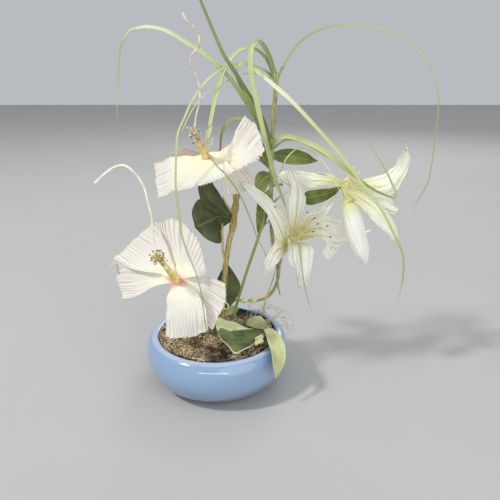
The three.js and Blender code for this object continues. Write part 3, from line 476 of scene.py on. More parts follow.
# %% Four tones of fibre
def fibre_finish(name, dark, light):
    straw = Shader(name, Roughness=0.75)
    tone = straw.blend(straw.ramp(straw.clouds(420, detail=2), 0.3, 0.7), dark, light)
    # painted shade: cloudy patches darken the fibres here and there
    painted_shade_patches = straw.times(straw.ramp(straw.clouds(30, detail=2), 0.54, 0.62), 0.8)
    straw.paint(straw.blend(painted_shade_patches, tone, tint(40, 29, 17)))
    return straw.material


# name, number of fibres, lowest and highest level in mm, thickness in mm, dark and light tint
BUNDLES = [
    # the darkest brown fibres low down are partly painted shade for the gaps in the bed
    ("fibres_brown", 1000, 51, 55.2, 0.46, tint(26, 18, 10), tint(66, 47, 28)),
    ("fibres_tan", 1100, 53, 56.7, 0.42, tint(92, 72, 44), tint(184, 154, 106)),
    ("fibres_straw", 1150, 54, 57.8, 0.38, tint(158, 132, 90), tint(250, 228, 184)),
    ("fibres_pale", 130, 55, 58.5, 0.36, tint(200, 190, 170), tint(244, 238, 222)),
]
for index, (name, count, low, high, thick, dark, light) in enumerate(BUNDLES):
    chance = random.Random(100 + index)
    lines = [wander(chance, low, high) for _ in range(count)]
    add_fibres(chance, name, lines, thick, fibre_finish(name, dark, light))

# %% [markdown]
# ## Loose strands over the rim
# Behind on the right, pale strands have sprung out of the bed and curl over the rim in open loops.
# They are long enough to be drawn one by one: each starts in the bed and ends in a loop or a free tip.
# Every route is drawn three times with a small random shift, so the strands lie in loose bunches.

# %% Strands
STRAND_ROUTES = [
    [[44, 24, 53], [52, 30, 62], [60, 33, 67], [68, 34, 66], [77, 33, 62]],
    [[52, 14, 53], [60, 17, 62], [68, 19, 65], [77, 18, 62], [82, 15, 56]],
    [[34, 34, 53], [40, 40, 60], [49, 44, 62], [57, 43, 61]],
    [[70, 12, 54], [76, 12, 58], [81, 12, 60], [85, 12, 57], [84, 12, 52], [79, 12, 52], [77, 12, 56]],
    [[40, 30, 53], [45, 36, 62], [54, 38, 70], [63, 36, 71], [70, 33, 66], [73, 31, 60]],
    [[48, 12, 54], [56, 14, 61], [66, 18, 64], [76, 23, 62], [83, 27, 58]],
    [[30, 30, 53], [34, 36, 60], [38, 38, 68], [36, 39, 74]],
    [[56, 20, 53], [62, 24, 60], [71, 25, 66], [80, 25, 64], [86, 25, 58]],
]
STRANDS_EACH = 3


def shaken(chance, route, most):
    """A route moved by a random shift that grows over its first two points."""
    shift = [chance.uniform(-most, most) for _ in range(3)]
    return [[p[k] + shift[k] * min(1, i / 2) for k in range(3)] for i, p in enumerate(route)]


def sampled(points, parts):
    """Evenly spaced places on the smooth line through points."""
    line = spline(points)
    return [line(i / parts) for i in range(parts + 1)]


bleached = fibre_finish("strand", tint(176, 168, 150), tint(240, 236, 224))
chance = random.Random(5)
strands = [sampled(shaken(chance, route, 2.5), 24) for route in STRAND_ROUTES
           for _ in range(STRANDS_EACH)]
add_fibres(chance, "loose_strands", strands, 0.38, bleached)

# %% [markdown]
# ## Stems
# The hibiscus stem is a knotty ochre-brown branch with bark that runs in streaks; the lilies and the
# grass stand on a smoother olive cane with rings where leaves grew. Both are tubes rolled along the
# CAD routes. Their thickness is a formula of t and the angle, so ridges and knots are real geometry.

# %% Routes of the stems, in mm
HIBISCUS_ROUTE = [[4, 5, 22], [4, 4, 42], [6, 3, 80], [8, 0, 110], [13, -1, 154], [19, -1, 181],
                  [22, -1, 203], [23, -1, 216], [16, -4, 228], [6, -8, 235], [2, -8, 239]]
LEFT_BRANCH_ROUTE = [[8, 0, 108], [2, -5, 117], [-12, -16, 125], [-26, -27, 129]]
LOOSE_STRIP = [[11, 1, 136], [8, -4, 154], [8, -5, 171], [8, -6, 185]]
STUB_ROUTE = [[20, -1, 193], [13, -4, 204], [9, -6, 213]]
LILY_ROUTE = [[-14, 43, 22], [-12, 44, 44], [-5, 46, 62], [8, 46, 72], [31, 46, 73], [47, 46, 73],
              [58, 45, 78], [66, 43, 89], [70, 41, 104], [69, 39, 125], [63, 37, 148], [61, 35, 177],
              [60, 32, 212], [60, 28, 256], [62, 24, 297], [63, 20, 331]]
LILY_WIDTHS = [1.9, 1.6, 1.6, 1.8, 2.1, 2.3, 2.2]
LILY_FRONT_ROUTE = [[70, 41, 106], [71, 36, 124], [73, 29, 137], [77, 22, 148]]
LILY_SIDE_ROUTE = [[61, 34, 216], [79, 34, 219], [94, 31, 222], [110, 25, 225], [124, 15, 225],
                   [132, 8, 221]]
BROKEN_STUB = [[70, 42, 100], [71, 42, 90], [73, 42, 82]]
TENDRIL = [[3, 46, 69], [3, 42, 75], [7, 40, 75], [9, 40, 70], [6, 40, 65.5], [2.5, 41, 67]]
CURLED_SHOOT = [[6, 2, 92], [9, -1, 92], [12.3, -2, 90], [12.8, -2, 86], [10, -2, 83.8], [7.8, -2, 86]]
print("stem routes:", len(HIBISCUS_ROUTE), len(LILY_ROUTE))

# %% Hibiscus stem
def woody(base, knots, seed):
    """The radius of a branch, in mm, with shallow ridges and swellings (at, size, wide) at knots."""
    def radius(t, angle):
        ridges = 0.09 * math.sin(5 * angle + 7 * t) + 0.05 * math.sin(11 * angle + seed)
        wobble = 0.16 * soft_noise(3 * math.cos(angle), 3 * math.sin(angle), 40 * t + seed)
        swell = sum(size * math.exp(-((t - at) / wide) ** 2) for at, size, wide in knots)
        return base * (1 + ridges + wobble + swell)
    return radius


mesh = bmesh.new()
stem_knots = [(0.72, 0.4, 0.03), (0.84, 0.45, 0.03), (0.97, 0.3, 0.04)]
add_tube(mesh, HIBISCUS_ROUTE[:8], woody(2.8, stem_knots, 1), 120, 26)
add_tube(mesh, HIBISCUS_ROUTE[6:], woody(2, [(0.1, 0.3, 0.08)], 2), 30, 16)
add_tube(mesh, LEFT_BRANCH_ROUTE, woody(2, [(0.15, 0.3, 0.1), (0.7, 0.15, 0.05)], 3), 30, 16)
add_tube(mesh, LOOSE_STRIP, lambda t, angle: 1 + 0.35 * math.cos(2 * angle), 30, 8)
bark = Shader("ochre_bark", Roughness=0.72)
grain = bark.clouds(60, bark.stretched((22, 22, 1)), detail=6)
patches = bark.ramp(bark.clouds(45, detail=3), 0.42, 0.66)
tone = bark.blend(bark.ramp(grain, 0.3, 0.66), tint(118, 96, 46), tint(218, 200, 134))
tone = bark.blend(bark.times(patches, 0.45), tone, tint(120, 84, 38))
upper = bark.ramp(bark.height(), 0.165, 0.2)
bark.paint(bark.blend(bark.times(upper, 0.35), tone, tint(136, 94, 36)))
bark.relief(grain, 0.8, 0.0008)
finish_piece(mesh, "hibiscus_branch", ["hibiscus_stem"], [bark.material])

# %% A green stub and the calyx green
green = Shader("calyx_green", Roughness=0.6)
ribs = green.clouds(90, green.stretched((4, 4, 1)), detail=3)
green.paint(green.blend(ribs, tint(112, 124, 62), tint(186, 190, 118)))
green.relief(ribs, 0.5, 0.0006)
mesh = bmesh.new()
add_tube(mesh, STUB_ROUTE, lambda t, angle: 1.5 - 0.9 * t, 14, 8)
finish_piece(mesh, "green_stub", ["hibiscus_stem"], [green.material])

# %% Cane of the lilies
mesh = bmesh.new()
leaf_rings = [(at, 0.22, 0.006) for at in (0.12, 0.3, 0.44, 0.58, 0.735, 0.86)]
ringed = woody(1, leaf_rings, 4)
add_tube(mesh, LILY_ROUTE, lambda t, angle: ringed(t, angle) * along(LILY_WIDTHS, t), 170, 20)
add_tube(mesh, LILY_FRONT_ROUTE, woody(2.2, [(0.5, 0.1, 0.05)], 5), 30, 16)
add_tube(mesh, LILY_SIDE_ROUTE, woody(1.5, [(0.45, 0.2, 0.02)], 6), 50, 14)
add_tube(mesh, BROKEN_STUB, lambda t, angle: 1.1 - 0.5 * t + 0.3 * math.cos(3 * angle) * t, 14, 9)
cane = Shader("olive_cane", Roughness=0.5)
streaks = cane.clouds(50, cane.stretched((26, 26, 1)), detail=5)
blotch = cane.ramp(cane.clouds(30, detail=2), 0.4, 0.7)
tone = cane.blend(cane.ramp(streaks, 0.25, 0.75), tint(98, 94, 50), tint(216, 206, 150))
cane.paint(cane.blend(cane.times(blotch, 0.5), tone, tint(142, 150, 80)))
cane.relief(streaks, 0.5, 0.0006)
finish_piece(mesh, "lily_cane", ["lily_stem"], [cane.material])

# %% Pale buds, a tendril and a curled shoot
def small_bud(t, angle):
    return 0.5 + 1.6 * math.sin(math.pi * t) * (1 + 0.3 * math.cos(3 * angle + 4 * t))


pale = Shader("pale_shoot", Roughness=0.5)
pale.paint(pale.blend(pale.clouds(120), tint(216, 216, 124), tint(244, 242, 176)))
pale.relief(pale.clouds(400), 0.3, 0.0005)
mesh = bmesh.new()
add_tube(mesh, TENDRIL, lambda t, angle: 1.2 - 0.5 * t, 60, 12)
for x in (30, 41):
    add_tube(mesh, [[x - 4, 42.5, 72], [x, 41.5, 74], [x + 5, 42.5, 75]], small_bud, 16, 14)
finish_piece(mesh, "pale_shoots", ["lily_stem"], [pale.material])
mesh = bmesh.new()
add_tube(mesh, CURLED_SHOOT, lambda t, angle: 0.9 - 0.35 * t, 50, 12)
finish_piece(mesh, "curled_shoot", ["hibiscus_stem"], [pale.material])

# %% [markdown]
# ## Petals and leaves as surfaces
# Every petal or leaf lies between a left and a right edge, which run from the base to the tip. The
# same few numbers as in the CAD model bend it: cup sinks the middle, crease folds it along the
# midrib, ruffle waves the edges and tip says how far the end reaches beyond its corners. The finer
# grid adds what the CAD leaves out: pleats pressed into the cloth, a pinked edge and soft folds.
# - pleats, depth and begin: how many pleats, how deep in mm and how slowly they start from the base
# - pinked: how far the pinking shears cut the tip, in mm; frill: the waves of the left and right hem
# - flutter and crumple: slow and quick folds in mm; ragged: how far the edges are nibbled
# - widen: how much wider than its table; point: over which part of the length the tip rounds off

# %% The surface of a petal
FRILL_WAVES = 16


def petal_surface(left, right, cup=0, crease=0, ruffle=0, tip=(0, 0), waves=3, pleats=0, depth=0,
                  begin=1.5, frill=(0, 0), pinked=0, flutter=0, crumple=0.4, ragged=0, widen=1,
                  point=0, seed=0):
    """The functions (s, t) that give a corner's place and how deep it lies in a pleat."""
    left, right = spline(left), spline(right)
    rows, columns = {}, {}

    def flat(s, t):
        return left(t).lerp(right(t), (s + 1) / 2)

    def turns(s, t):
        """How many pleats lie between the left edge and s; they are not all equally wide."""
        return pleats * (s + 1) / 2 + 1.5 * soft_noise(s * 2.6, 0.7 * t, seed)

    def row(t):
        """Both ends of the row at t, half its width and the direction it faces."""
        if t not in rows:
            across = right(t) - left(t)
            ahead = flat(0, min(t + 0.05, 1)) - flat(0, max(t - 0.05, 0))
            width = widen
            if point and t > 1 - point:
                width *= 0.04 + 0.96 * math.sqrt(1 - ((t - 1 + point) / point) ** 2)
            start, end = (left(t).lerp(right(t), (1 + side * width) / 2) for side in (-1, 1))
            rows[t] = start, end, across.length / 2, across.cross(ahead).normalized()
        return rows[t]

    def column(s):
        """How far the tip reaches beyond the line between its corners, at s."""
        if s not in columns:
            length = along(tip, (s + 1) / 2)
            if pinked:
                length += pinked * (abs(math.cos(math.pi * turns(s, 1))) ** 0.6 - 0.6)
                length += pinked * 1.2 * soft_noise(s * 7, seed, 0)
            columns[s] = (flat(s, 1) - flat(s, 0.8)).normalized() * (length * MM)
        return columns[s]

    def place(s, t):
        start, end, half, face = row(t)
        middle = 1 - math.hypot(s, 0.1)
        sink = -half * min(4 * t, 1) * (cup * (1 - s * s) + crease * middle)
        uneven = 0.6 + 1.2 * soft_noise(s * 3.7, t * 1.6, seed + 5)
        fold = depth * t ** begin * uneven * -math.cos(math.tau * turns(s, t))
        shift = 0.6 if s > 0 else 0
        ripple = ruffle * s * s * math.sin(math.pi * (2 * waves * t + shift))
        hem = frill[s > 0] * abs(s) ** 6 * min(t * 3, 1)
        ripple += hem * math.sin(math.tau * FRILL_WAVES * t + 2 * soft_noise(t * 9, seed, 1))
        drift = flutter * t * t * soft_noise(s * 1.7 + seed, t * 1.6, seed)
        drift += crumple * t * soft_noise(s * 5, t * 5, seed + 9)
        drift += 0.5 * crumple * t * soft_noise(s * 13, t * 11, seed + 2)
        s -= s ** 7 * 0.025 * hem * math.cos(math.tau * FRILL_WAVES * t)
        s -= s ** 5 * ragged * (0.5 + 0.5 * soft_noise(t * 13, seed, s)) * min(t * 2, 1)
        away = (sink / MM + fold + ripple + drift) * MM
        return start.lerp(end, (s + 1) / 2) + column(s) * t ** 3 + face * away

    def valley(s, t):
        return (0.5 + 0.5 * math.cos(math.tau * turns(s, t))) * min(t ** begin * 1.6, 1)

    return place, valley


print("petal surface ready")

# %% [markdown]
# ## Hibiscus petals
# The petals are white cloth with fifteen fine pleats each, cut with pinking shears so that the edge
# is frilly. Dye makes the middle cream and the throat pink. The pleats are real folds here; a mark
# stored on each corner says how deep it lies in a fold, and the cloth is painted a little greyer there
# as shade in the valleys. A second mark, blush, widens or narrows the pink of a petal.

# %% Petal tables of the two blooms, in mm
LEFT_PETALS = [
    dict(left=[[-39, -45, 133], [-51, -41, 131], [-65, -39, 125], [-81, -37, 115], [-97, -27, 108]],
         right=[[-41, -42, 137], [-55, -34, 140], [-74, -25, 142], [-93, -14, 145], [-108, -3, 142]],
         cup=0.16, tip=[0, 5, 6, 5, 3]),
    dict(left=[[-41, -43, 135], [-54, -38, 141], [-69, -34, 142], [-86, -24, 142], [-105, -8, 146]],
         right=[[-36, -43, 139], [-41, -37, 153], [-48, -29, 168], [-55, -20, 178], [-63, -9, 182]],
         cup=0.2, tip=[3, 8, 11, 9, 4]),
    dict(left=[[-38, -42, 138], [-44, -33, 152], [-50, -25, 164], [-56, -17, 174], [-60, -7, 181]],
         right=[[-32, -45, 138], [-24, -49, 142], [-17, -53, 145], [-11, -55, 146], [-7, -52, 148]],
         cup=0.12, tip=[4, 17, 35, 37, 30, 11, 0]),
    dict(left=[[-32, -45, 138], [-23, -45, 140], [-13, -47, 141], [-1, -51, 142], [8, -53, 139]],
         right=[[-35, -46, 133], [-27, -51, 126], [-18, -59, 115], [-9, -68, 104], [1, -74, 96]],
         cup=0.14, tip=[4, 8, 6, 2, 0]),
    dict(left=[[-29, -48, 138], [-17, -60, 133], [-8, -69, 123], [-4, -75, 110], [-4, -76, 97]],
         right=[[-41, -44, 132], [-45, -51, 123], [-46, -57, 111], [-47, -61, 97], [-47, -62, 83]],
         cup=-0.16, tip=[0, 3, 3, 2, 0]),
]
TOP_PETALS = [
    dict(left=[[-8, -22, 253], [-15, -30, 246], [-24, -38, 237], [-36, -40, 227], [-52, -35, 220]],
         right=[[-10, -15, 257], [-22, -12, 255], [-35, -7, 254], [-48, -2, 250], [-61, 4, 244]],
         cup=0.18, tip=[0, 2, 3, 2, 0]),
    dict(left=[[0, -22, 255], [7, -30, 253], [13, -38, 252], [17, -44, 249], [21, -48, 247]],
         right=[[-9, -23, 253], [-14, -34, 247], [-19, -45, 241], [-25, -54, 236], [-30, -60, 231]],
         cup=0.12, tip=[0, 1, 1, 1, 0]),
    dict(left=[[-4, -17, 259], [8, -19, 261], [18, -18, 267], [24, -12, 278], [31, -5, 289]],
         right=[[0, -24, 255], [12, -35, 247], [26, -43, 248], [37, -47, 254], [48, -47, 262]],
         cup=0.22, tip=[3, 9, 7, 4, 1]),
    dict(left=[[-9, -16, 256], [-23, -2, 260], [-35, 12, 259], [-46, 26, 251], [-47, 40, 244]],
         right=[[-4, -14, 257], [4, 0, 258], [9, 14, 256], [7, 28, 247], [1, 42, 240]],
         cup=0.14, tip=[0, 6, 8, 6, 0]),
    dict(left=[[2, -20, 255], [13, -16, 251], [24, -15, 248], [34, -14, 244], [42, -13, 234]],
         right=[[-3, -21, 252], [4, -21, 243], [8, -18, 234], [9, -15, 226], [9, -14, 219]],
         cup=0.14, tip=[0, 3, 9, 9, 5, 2]),
]
print("petals:", len(LEFT_PETALS) + len(TOP_PETALS))

# %% Pleated cloth
CLOTH = dict(Subsurface_Weight=0.12, Subsurface_Scale=0.004)


def pleated_cloth(name, cream_reach, heart_reach, heart, cream):
    cloth = Shader(name, Roughness=0.62, Sheen_Weight=0.25, **CLOTH)
    _, v = cloth.uv()
    streaks = cloth.clouds(1, cloth.stretched((70, 3, 1), cloth.uv_map()), detail=3)
    tone = cloth.blend(streaks, tint(214, 206, 196), tint(241, 237, 228))
    # painted shade: the cloth is painted greyer deep in the pleat valleys
    deep = cloth.times(cloth.ramp(cloth.mark("fold"), 0.35, 1.0), 0.5)
    tone = cloth.blend(deep, tone, tint(182, 168, 162))
    edge = cloth.plus(v, cloth.times(streaks, 0.25))
    tone = cloth.blend(cloth.ramp(edge, cream_reach, 0.12), tone, cream)
    near = cloth.minus(edge, cloth.mark("blush"))
    cloth.paint(cloth.blend(cloth.ramp(near, heart_reach, 0.13), tone, heart))
    weave = cloth.clouds(2600, detail=1, roughness=0.5)
    cloth.relief(cloth.plus(weave, cloth.times(streaks, 1.5)), 0.35, 0.0004)
    return cloth.material


left_cloth = pleated_cloth("pleated_cloth_left", 0.75, 0.33, tint(236, 156, 148), tint(248, 242, 212))
top_cloth = pleated_cloth("pleated_cloth_top", 1.0, 0.34, tint(198, 116, 116), tint(248, 238, 202))
print("cloths:", left_cloth.name, top_cloth.name)

# %% Petals of both blooms
PLEATS = 15
PLAIN = dict(depth=0.6, pinked=1.2, frill=(0.5, 0.5), flutter=2.5)
SMOOTH = {**PLAIN, "depth": 0.7, "begin": 4}
GATHERED = dict(depth=0.45, begin=2, pinked=0.9, frill=(0.2, 1.5), flutter=3, crumple=2.3)
LEFT_PRESSING = [PLAIN, {**PLAIN, "begin": 2.5, "widen": 1.05}, {**PLAIN, "widen": 1.06}, PLAIN, PLAIN]
TOP_PRESSING = [{**PLAIN, "begin": 2.5, "widen": 1.06}, {**SMOOTH, "widen": 1.2, "pinked": 0.8},
                {**GATHERED, "widen": 1.06}, SMOOTH, PLAIN]


def bloom_petals(side, petals, pressing, blush, finish):
    mesh = bmesh.new()
    for index, (petal, pressed) in enumerate(zip(petals, pressing)):
        place, valley = petal_surface(**petal, ruffle=0.8, pleats=PLEATS, seed=index * 3.7, **pressed)
        rows = 120 if max(pressed["frill"]) > 1 else 56
        add_sheet(mesh, place, 8 * PLEATS, rows, {"fold": valley, "blush": blush[index]})
    finish_piece(mesh, side + "_bloom_petals", [f"hibiscus_{side}_petals"], [finish],
                 thickness=0.35)


bloom_petals("left", LEFT_PETALS, LEFT_PRESSING, [0, 0, 0, -0.05, 0], left_cloth)
bloom_petals("top", TOP_PETALS, TOP_PRESSING, [-0.16, -0.16, -0.14, 0.3, -0.1], top_cloth)

# %% [markdown]
# ## Stamen columns
# A hibiscus has one long column in its heart, set with anthers towards its tip. The column is a
# tapering tube; each anther is a small bean on a fine filament. The style that grows from the tip is
# here a thick cream thread that ends in a cut.

# %% Places and finishes of the columns
def mixed(name, dark, light, scale, roughness=0.6):
    """A matt finish that drifts between two colours."""
    made = Shader(name, Roughness=roughness)
    clouds = made.clouds(scale, made.stretched((1, 1, 1)))
    made.paint(made.blend(made.ramp(clouds, 0.32, 0.68), dark, light))
    made.relief(clouds, 0.4, 0.0005)
    return made.material


BLOOMS = {
    "left": dict(
        throat=(-36, -45, 135), tip=(-48, -73, 171), axis=(-0.4, -0.8, 0.45),
        seed=17, bean=0.62, spread=7.6,
        column=mixed("yellow_column", tint(206, 186, 100), tint(246, 234, 166), 110, 0.5),
        anthers=mixed("olive_anthers", tint(52, 48, 26), tint(164, 152, 92), 420),
        style=mixed("cream_style", tint(226, 218, 186), tint(250, 247, 234), 160, 0.5),
        style_route=[[-48, -73, 170.5], [-51, -73, 188], [-52, -70, 206], [-55, -68, 222],
                     [-59, -66, 238], [-66, -66, 249], [-74, -66, 255], [-82, -66, 254],
                     [-93, -66, 247], [-102, -66, 239]]),
    "top": dict(
        throat=(-6, -20, 256), tip=(-14, -39, 279), axis=(-0.36, -0.55, 0.75),
        seed=18, bean=0.88, spread=6.4,
        column=mixed("ochre_column", tint(208, 166, 84), tint(246, 220, 146), 110, 0.5),
        anthers=mixed("grey_anthers", tint(84, 86, 66), tint(240, 238, 226), 360),
        style=mixed("beige_style", tint(186, 168, 140), tint(234, 222, 200), 160, 0.55),
        style_route=[[-14, -39, 278.5], [-13, -34, 293], [-9, -32, 309], [-9, -30, 320],
                     [-12, -29, 331], [-16, -30, 340], [-15, -31, 347], [-9, -30, 354], [-8, -28, 362],
                     [-12, -27, 370], [-19, -27, 376], [-22, -27, 382]]),
}
print("blooms:", list(BLOOMS))

# %% Columns
ANTHERS = 64
ANTHER_TURN = 2.4


def column_radius(t, angle):
    return 3.7 - 1.5 * t + 0.12 * math.sin(6 * angle)


def style_radius(t, angle):
    return 0.95 + 0.25 * t ** 8 + 0.05 * math.sin(4 * angle)


def add_bean(mesh, radius, shape, start, aim, end):
    """A small ball that shape makes a bean; its direction start is turned to aim, its middle to end."""
    bean = bmesh.ops.create_icosphere(mesh, subdivisions=2, radius=radius * MM)["verts"]
    for corner in bean:
        shape(corner.co)
    turned = Vector(start).rotation_difference(aim).to_matrix()
    bmesh.ops.rotate(mesh, cent=(0, 0, 0), matrix=turned, verts=bean)
    bmesh.ops.translate(mesh, vec=end * MM, verts=bean)


def bent_bean(corner):
    corner.x *= 1.4
    corner.z -= abs(corner.x) * 0.35


for side, bloom in BLOOMS.items():
    base, tip = Vector(bloom["throat"]), Vector(bloom["tip"])
    aim = (tip - base).normalized()
    chance = random.Random(bloom["seed"])
    column, beans = bmesh.new(), bmesh.new()
    bent = base.lerp(tip, 0.5) + aim.orthogonal() * 0.4
    add_tube(column, [base - aim * 0.5, bent, tip], column_radius, 30, 20)
    for i in range(ANTHERS):
        root = base.lerp(tip, chance.uniform(0.82, 1.08))
        out = around(aim, i * ANTHER_TURN) * chance.uniform(2.2, bloom["spread"])
        end = root + out + aim * chance.uniform(-0.5, 6)
        add_tube(column, [root, root.lerp(end, 0.5) + aim * 0.6, end], 0.24, 4, 5)
        add_bean(beans, bloom["bean"], bent_bean, (1, 0, 0), out.cross(aim), end)
    node = [f"hibiscus_{side}_column"]
    finish_piece(column, side + "_bloom_column", node, [bloom["column"]])
    finish_piece(beans, side + "_bloom_anthers", node, [bloom["anthers"]])
    thread = bmesh.new()
    add_tube(thread, bloom["style_route"], style_radius, 90, 12)
    finish_piece(thread, side + "_bloom_style", [f"hibiscus_{side}_style"], [bloom["style"]])

# %% [markdown]
# ## Calyx and tube
# Behind the petals a narrow tube joins them and a green calyx holds the tube. The calyx is a rolled
# tube with five ribs and five pointed sepals that opens towards the petals, and the petal tube runs
# through it.

# %% Calyces
SEPALS = 5
CALYX_WIDTHS = [2.2, 3.6, 4.8, 5.4, 5.8]
TUBE_WIDTHS = [2.6, 4, 6]


def ribbed(widths, ribs, size):
    """A radius that follows a list of widths, with soft ribs of a given size."""
    return lambda t, angle: along(widths, t) * (1 + size * math.cos(ribs * angle))


def sepal(t, angle):
    return (1.5 - 1.3 * t) * (1 - 0.5 * abs(math.sin(angle)))


rolled = Shader("rolled_tube_cloth", Roughness=0.6)
_, v = rolled.uv()
tone = rolled.blend(rolled.clouds(200), tint(206, 198, 184), tint(244, 240, 228))
rolled.paint(rolled.blend(rolled.ramp(v, 0.78, 0.9), tone, tint(200, 108, 102)))
rolled.relief(rolled.clouds(500), 0.4, 0.0005)
for side, bloom in BLOOMS.items():
    base = Vector(bloom["throat"])
    aim = Vector(bloom["axis"]).normalized()
    calyx, tube = bmesh.new(), bmesh.new()
    add_tube(calyx, [base - aim * back for back in (21, 15, 9)], ribbed(CALYX_WIDTHS, 5, 0.07), 16, 30)
    for k in range(SEPALS):
        out = around(aim, k * math.tau / SEPALS)
        route = [base - aim * back + out * reach for back, reach in ((10, 4.6), (6, 5.6), (1, 7.6))]
        add_tube(calyx, route, sepal, 10, 8)
    finish_piece(calyx, side + "_bloom_calyx", [f"hibiscus_{side}_calyx"], [green.material])
    add_tube(tube, [base - aim * back for back in (12.6, 6, 0.9)], ribbed(TUBE_WIDTHS, 5, 0.06), 20, 30)
    finish_piece(tube, side + "_bloom_tube", [f"hibiscus_{side}_petals"],
                 [rolled.material])

# %% [markdown]
# ## Leaves
# Cloth leaves are printed and heat-pressed: a midrib and side veins stand up a little and are paler
# than the blade. The UV map runs from base to tip, so the veins can be drawn from it: distance from
# the middle gives the midrib, and a slanted saw-tooth gives the side veins. The back of each leaf is
# a second material, which the Solidify modifier lays on the back.

# %% Leaf tables, in mm
LEAVES = {
    "hibiscus_leaf_upper": dict(
        left=[[14, -3, 190], [-2, -6, 199], [-12, -10, 207], [-15, -12, 219], [-14, -12, 234]],
        right=[[18, -2, 195], [10, 2, 207], [3, 4, 217], [-2, 6, 226], [-7, 8, 234]],
        crease=0.35, ruffle=0.8),
    "hibiscus_leaf_lower": dict(
        left=[[19, 0, 186], [6, 6, 174], [5, 10, 158], [-8, 10, 161], [-20, 8, 172]],
        right=[[20, 1, 192], [-3, 12, 201], [-17, 14, 206], [-25, 14, 194], [-24, 10, 179]],
        crease=0.12, ruffle=1),
    "hibiscus_leaf_upright": dict(
        left=[[5, 16, 73], [-2, 15, 90], [-3, 14, 107], [3, 13, 120], [10, 12, 134]],
        right=[[10, 16, 73], [21, 19, 87], [26, 20, 103], [19, 17, 120], [13, 13, 133]],
        crease=0.2, ruffle=0.8),
    "leaf_small_back": dict(
        left=[[2, 34, 60], [8, 34, 69], [15, 34, 71.5], [21, 33, 71]],
        right=[[6, 32, 57], [14, 31, 61], [20, 31, 64], [24, 32, 68]],
        crease=0.2),
    "leaf_over_moss": dict(
        left=[[47, -36, 66], [39, -45, 62], [29, -51, 61], [21, -57, 60], [14, -50, 64], [6, -38, 68],
              [1, -26, 73]],
        right=[[47, -23, 68], [38, -14, 66], [29, -7, 65], [20, -2, 67], [11, -3, 71], [3, -4, 75],
               [-1, -13, 75]],
        ruffle=0.8),
    "leaf_small_rim": dict(
        left=[[53, -8, 64], [46, -4, 63], [39, 0, 63], [32, 6, 62]],
        right=[[54, 2, 66], [48, 6, 69], [42, 8, 68], [34, 9, 65]],
        crease=0.25),
    "leaf_over_rim": dict(
        left=[[56, -15, 69], [67, -26, 67], [72, -34, 64], [74, -42, 61], [74, -50, 53], [71, -57, 43],
              [65, -63, 35]],
        right=[[52, -22, 69], [54, -34, 69], [56, -45, 66], [58, -54, 63], [60, -60, 56], [61, -64, 47],
               [62, -65, 36]],
        crease=0.3, ruffle=0.5),
    "lily_leaf_right": dict(
        left=[[61, 29, 253], [72, 33, 256], [83, 36, 256], [97, 38, 252], [110, 38, 244]],
        right=[[61, 29, 246], [73, 33, 241], [85, 36, 239], [97, 38, 239], [111, 38, 241]],
        crease=0.3),
    "lily_leaf_under": dict(
        left=[[132, 8, 219], [126, 9, 211], [117, 13, 204], [105, 17, 199], [93, 20, 197]],
        right=[[132, 8, 222], [124, 9, 219], [113, 13, 217], [103, 17, 215], [93, 20, 213]],
        crease=0.3),
    "lily_leaf_pale": dict(
        left=[[60, 30, 233], [50, 28, 242], [43, 25, 249], [43, 22, 259], [45, 18, 270]],
        right=[[61, 29, 237], [58, 26, 247], [55, 22, 257], [50, 18, 265], [47, 16, 272]],
        crease=0.3),
    "lily_leaf_left": dict(
        left=[[60, 29, 226], [57, 24, 220], [54, 21, 214], [50, 19, 210], [46, 17, 212]],
        right=[[60, 29, 231], [50, 25, 234], [44, 23, 231], [42, 21, 222], [44, 18, 214]],
        crease=0.25),
    "lily_leaf_low": dict(
        left=[[60, 31, 209], [57, 28, 196], [56, 26, 182], [51, 25, 169], [48, 25, 161]],
        right=[[59, 31, 214], [47, 28, 204], [44, 26, 189], [44, 25, 174], [46, 25, 161]],
        crease=0.3),
}
CRUMPLED_LOBE = dict(left=[[46, -31, 67], [50, -42, 66], [48, -48, 67], [42, -50, 67]],
                     right=[[47, -27, 69], [51, -37, 70], [48, -41, 73], [42, -43, 70]],
                     ruffle=1)
PETIOLES = {
    "hibiscus_leaf_upright": [[7, 17, 46], [7, 17, 60], [7.5, 16, 78]],
    "leaf_small_back": [[3, 33.5, 46], [3.5, 33.5, 53], [5, 33, 61]],
    "leaf_over_moss": [[50, -20, 46], [49.5, -24, 58], [46, -29, 67]],
    "leaf_small_rim": [[56, -2, 46], [55.5, -3, 57], [52, -3, 65.5]],
    "leaf_over_rim": [[58, -12, 46], [57, -14, 58], [55, -19, 69]],
}
print("leaves:", len(LEAVES))

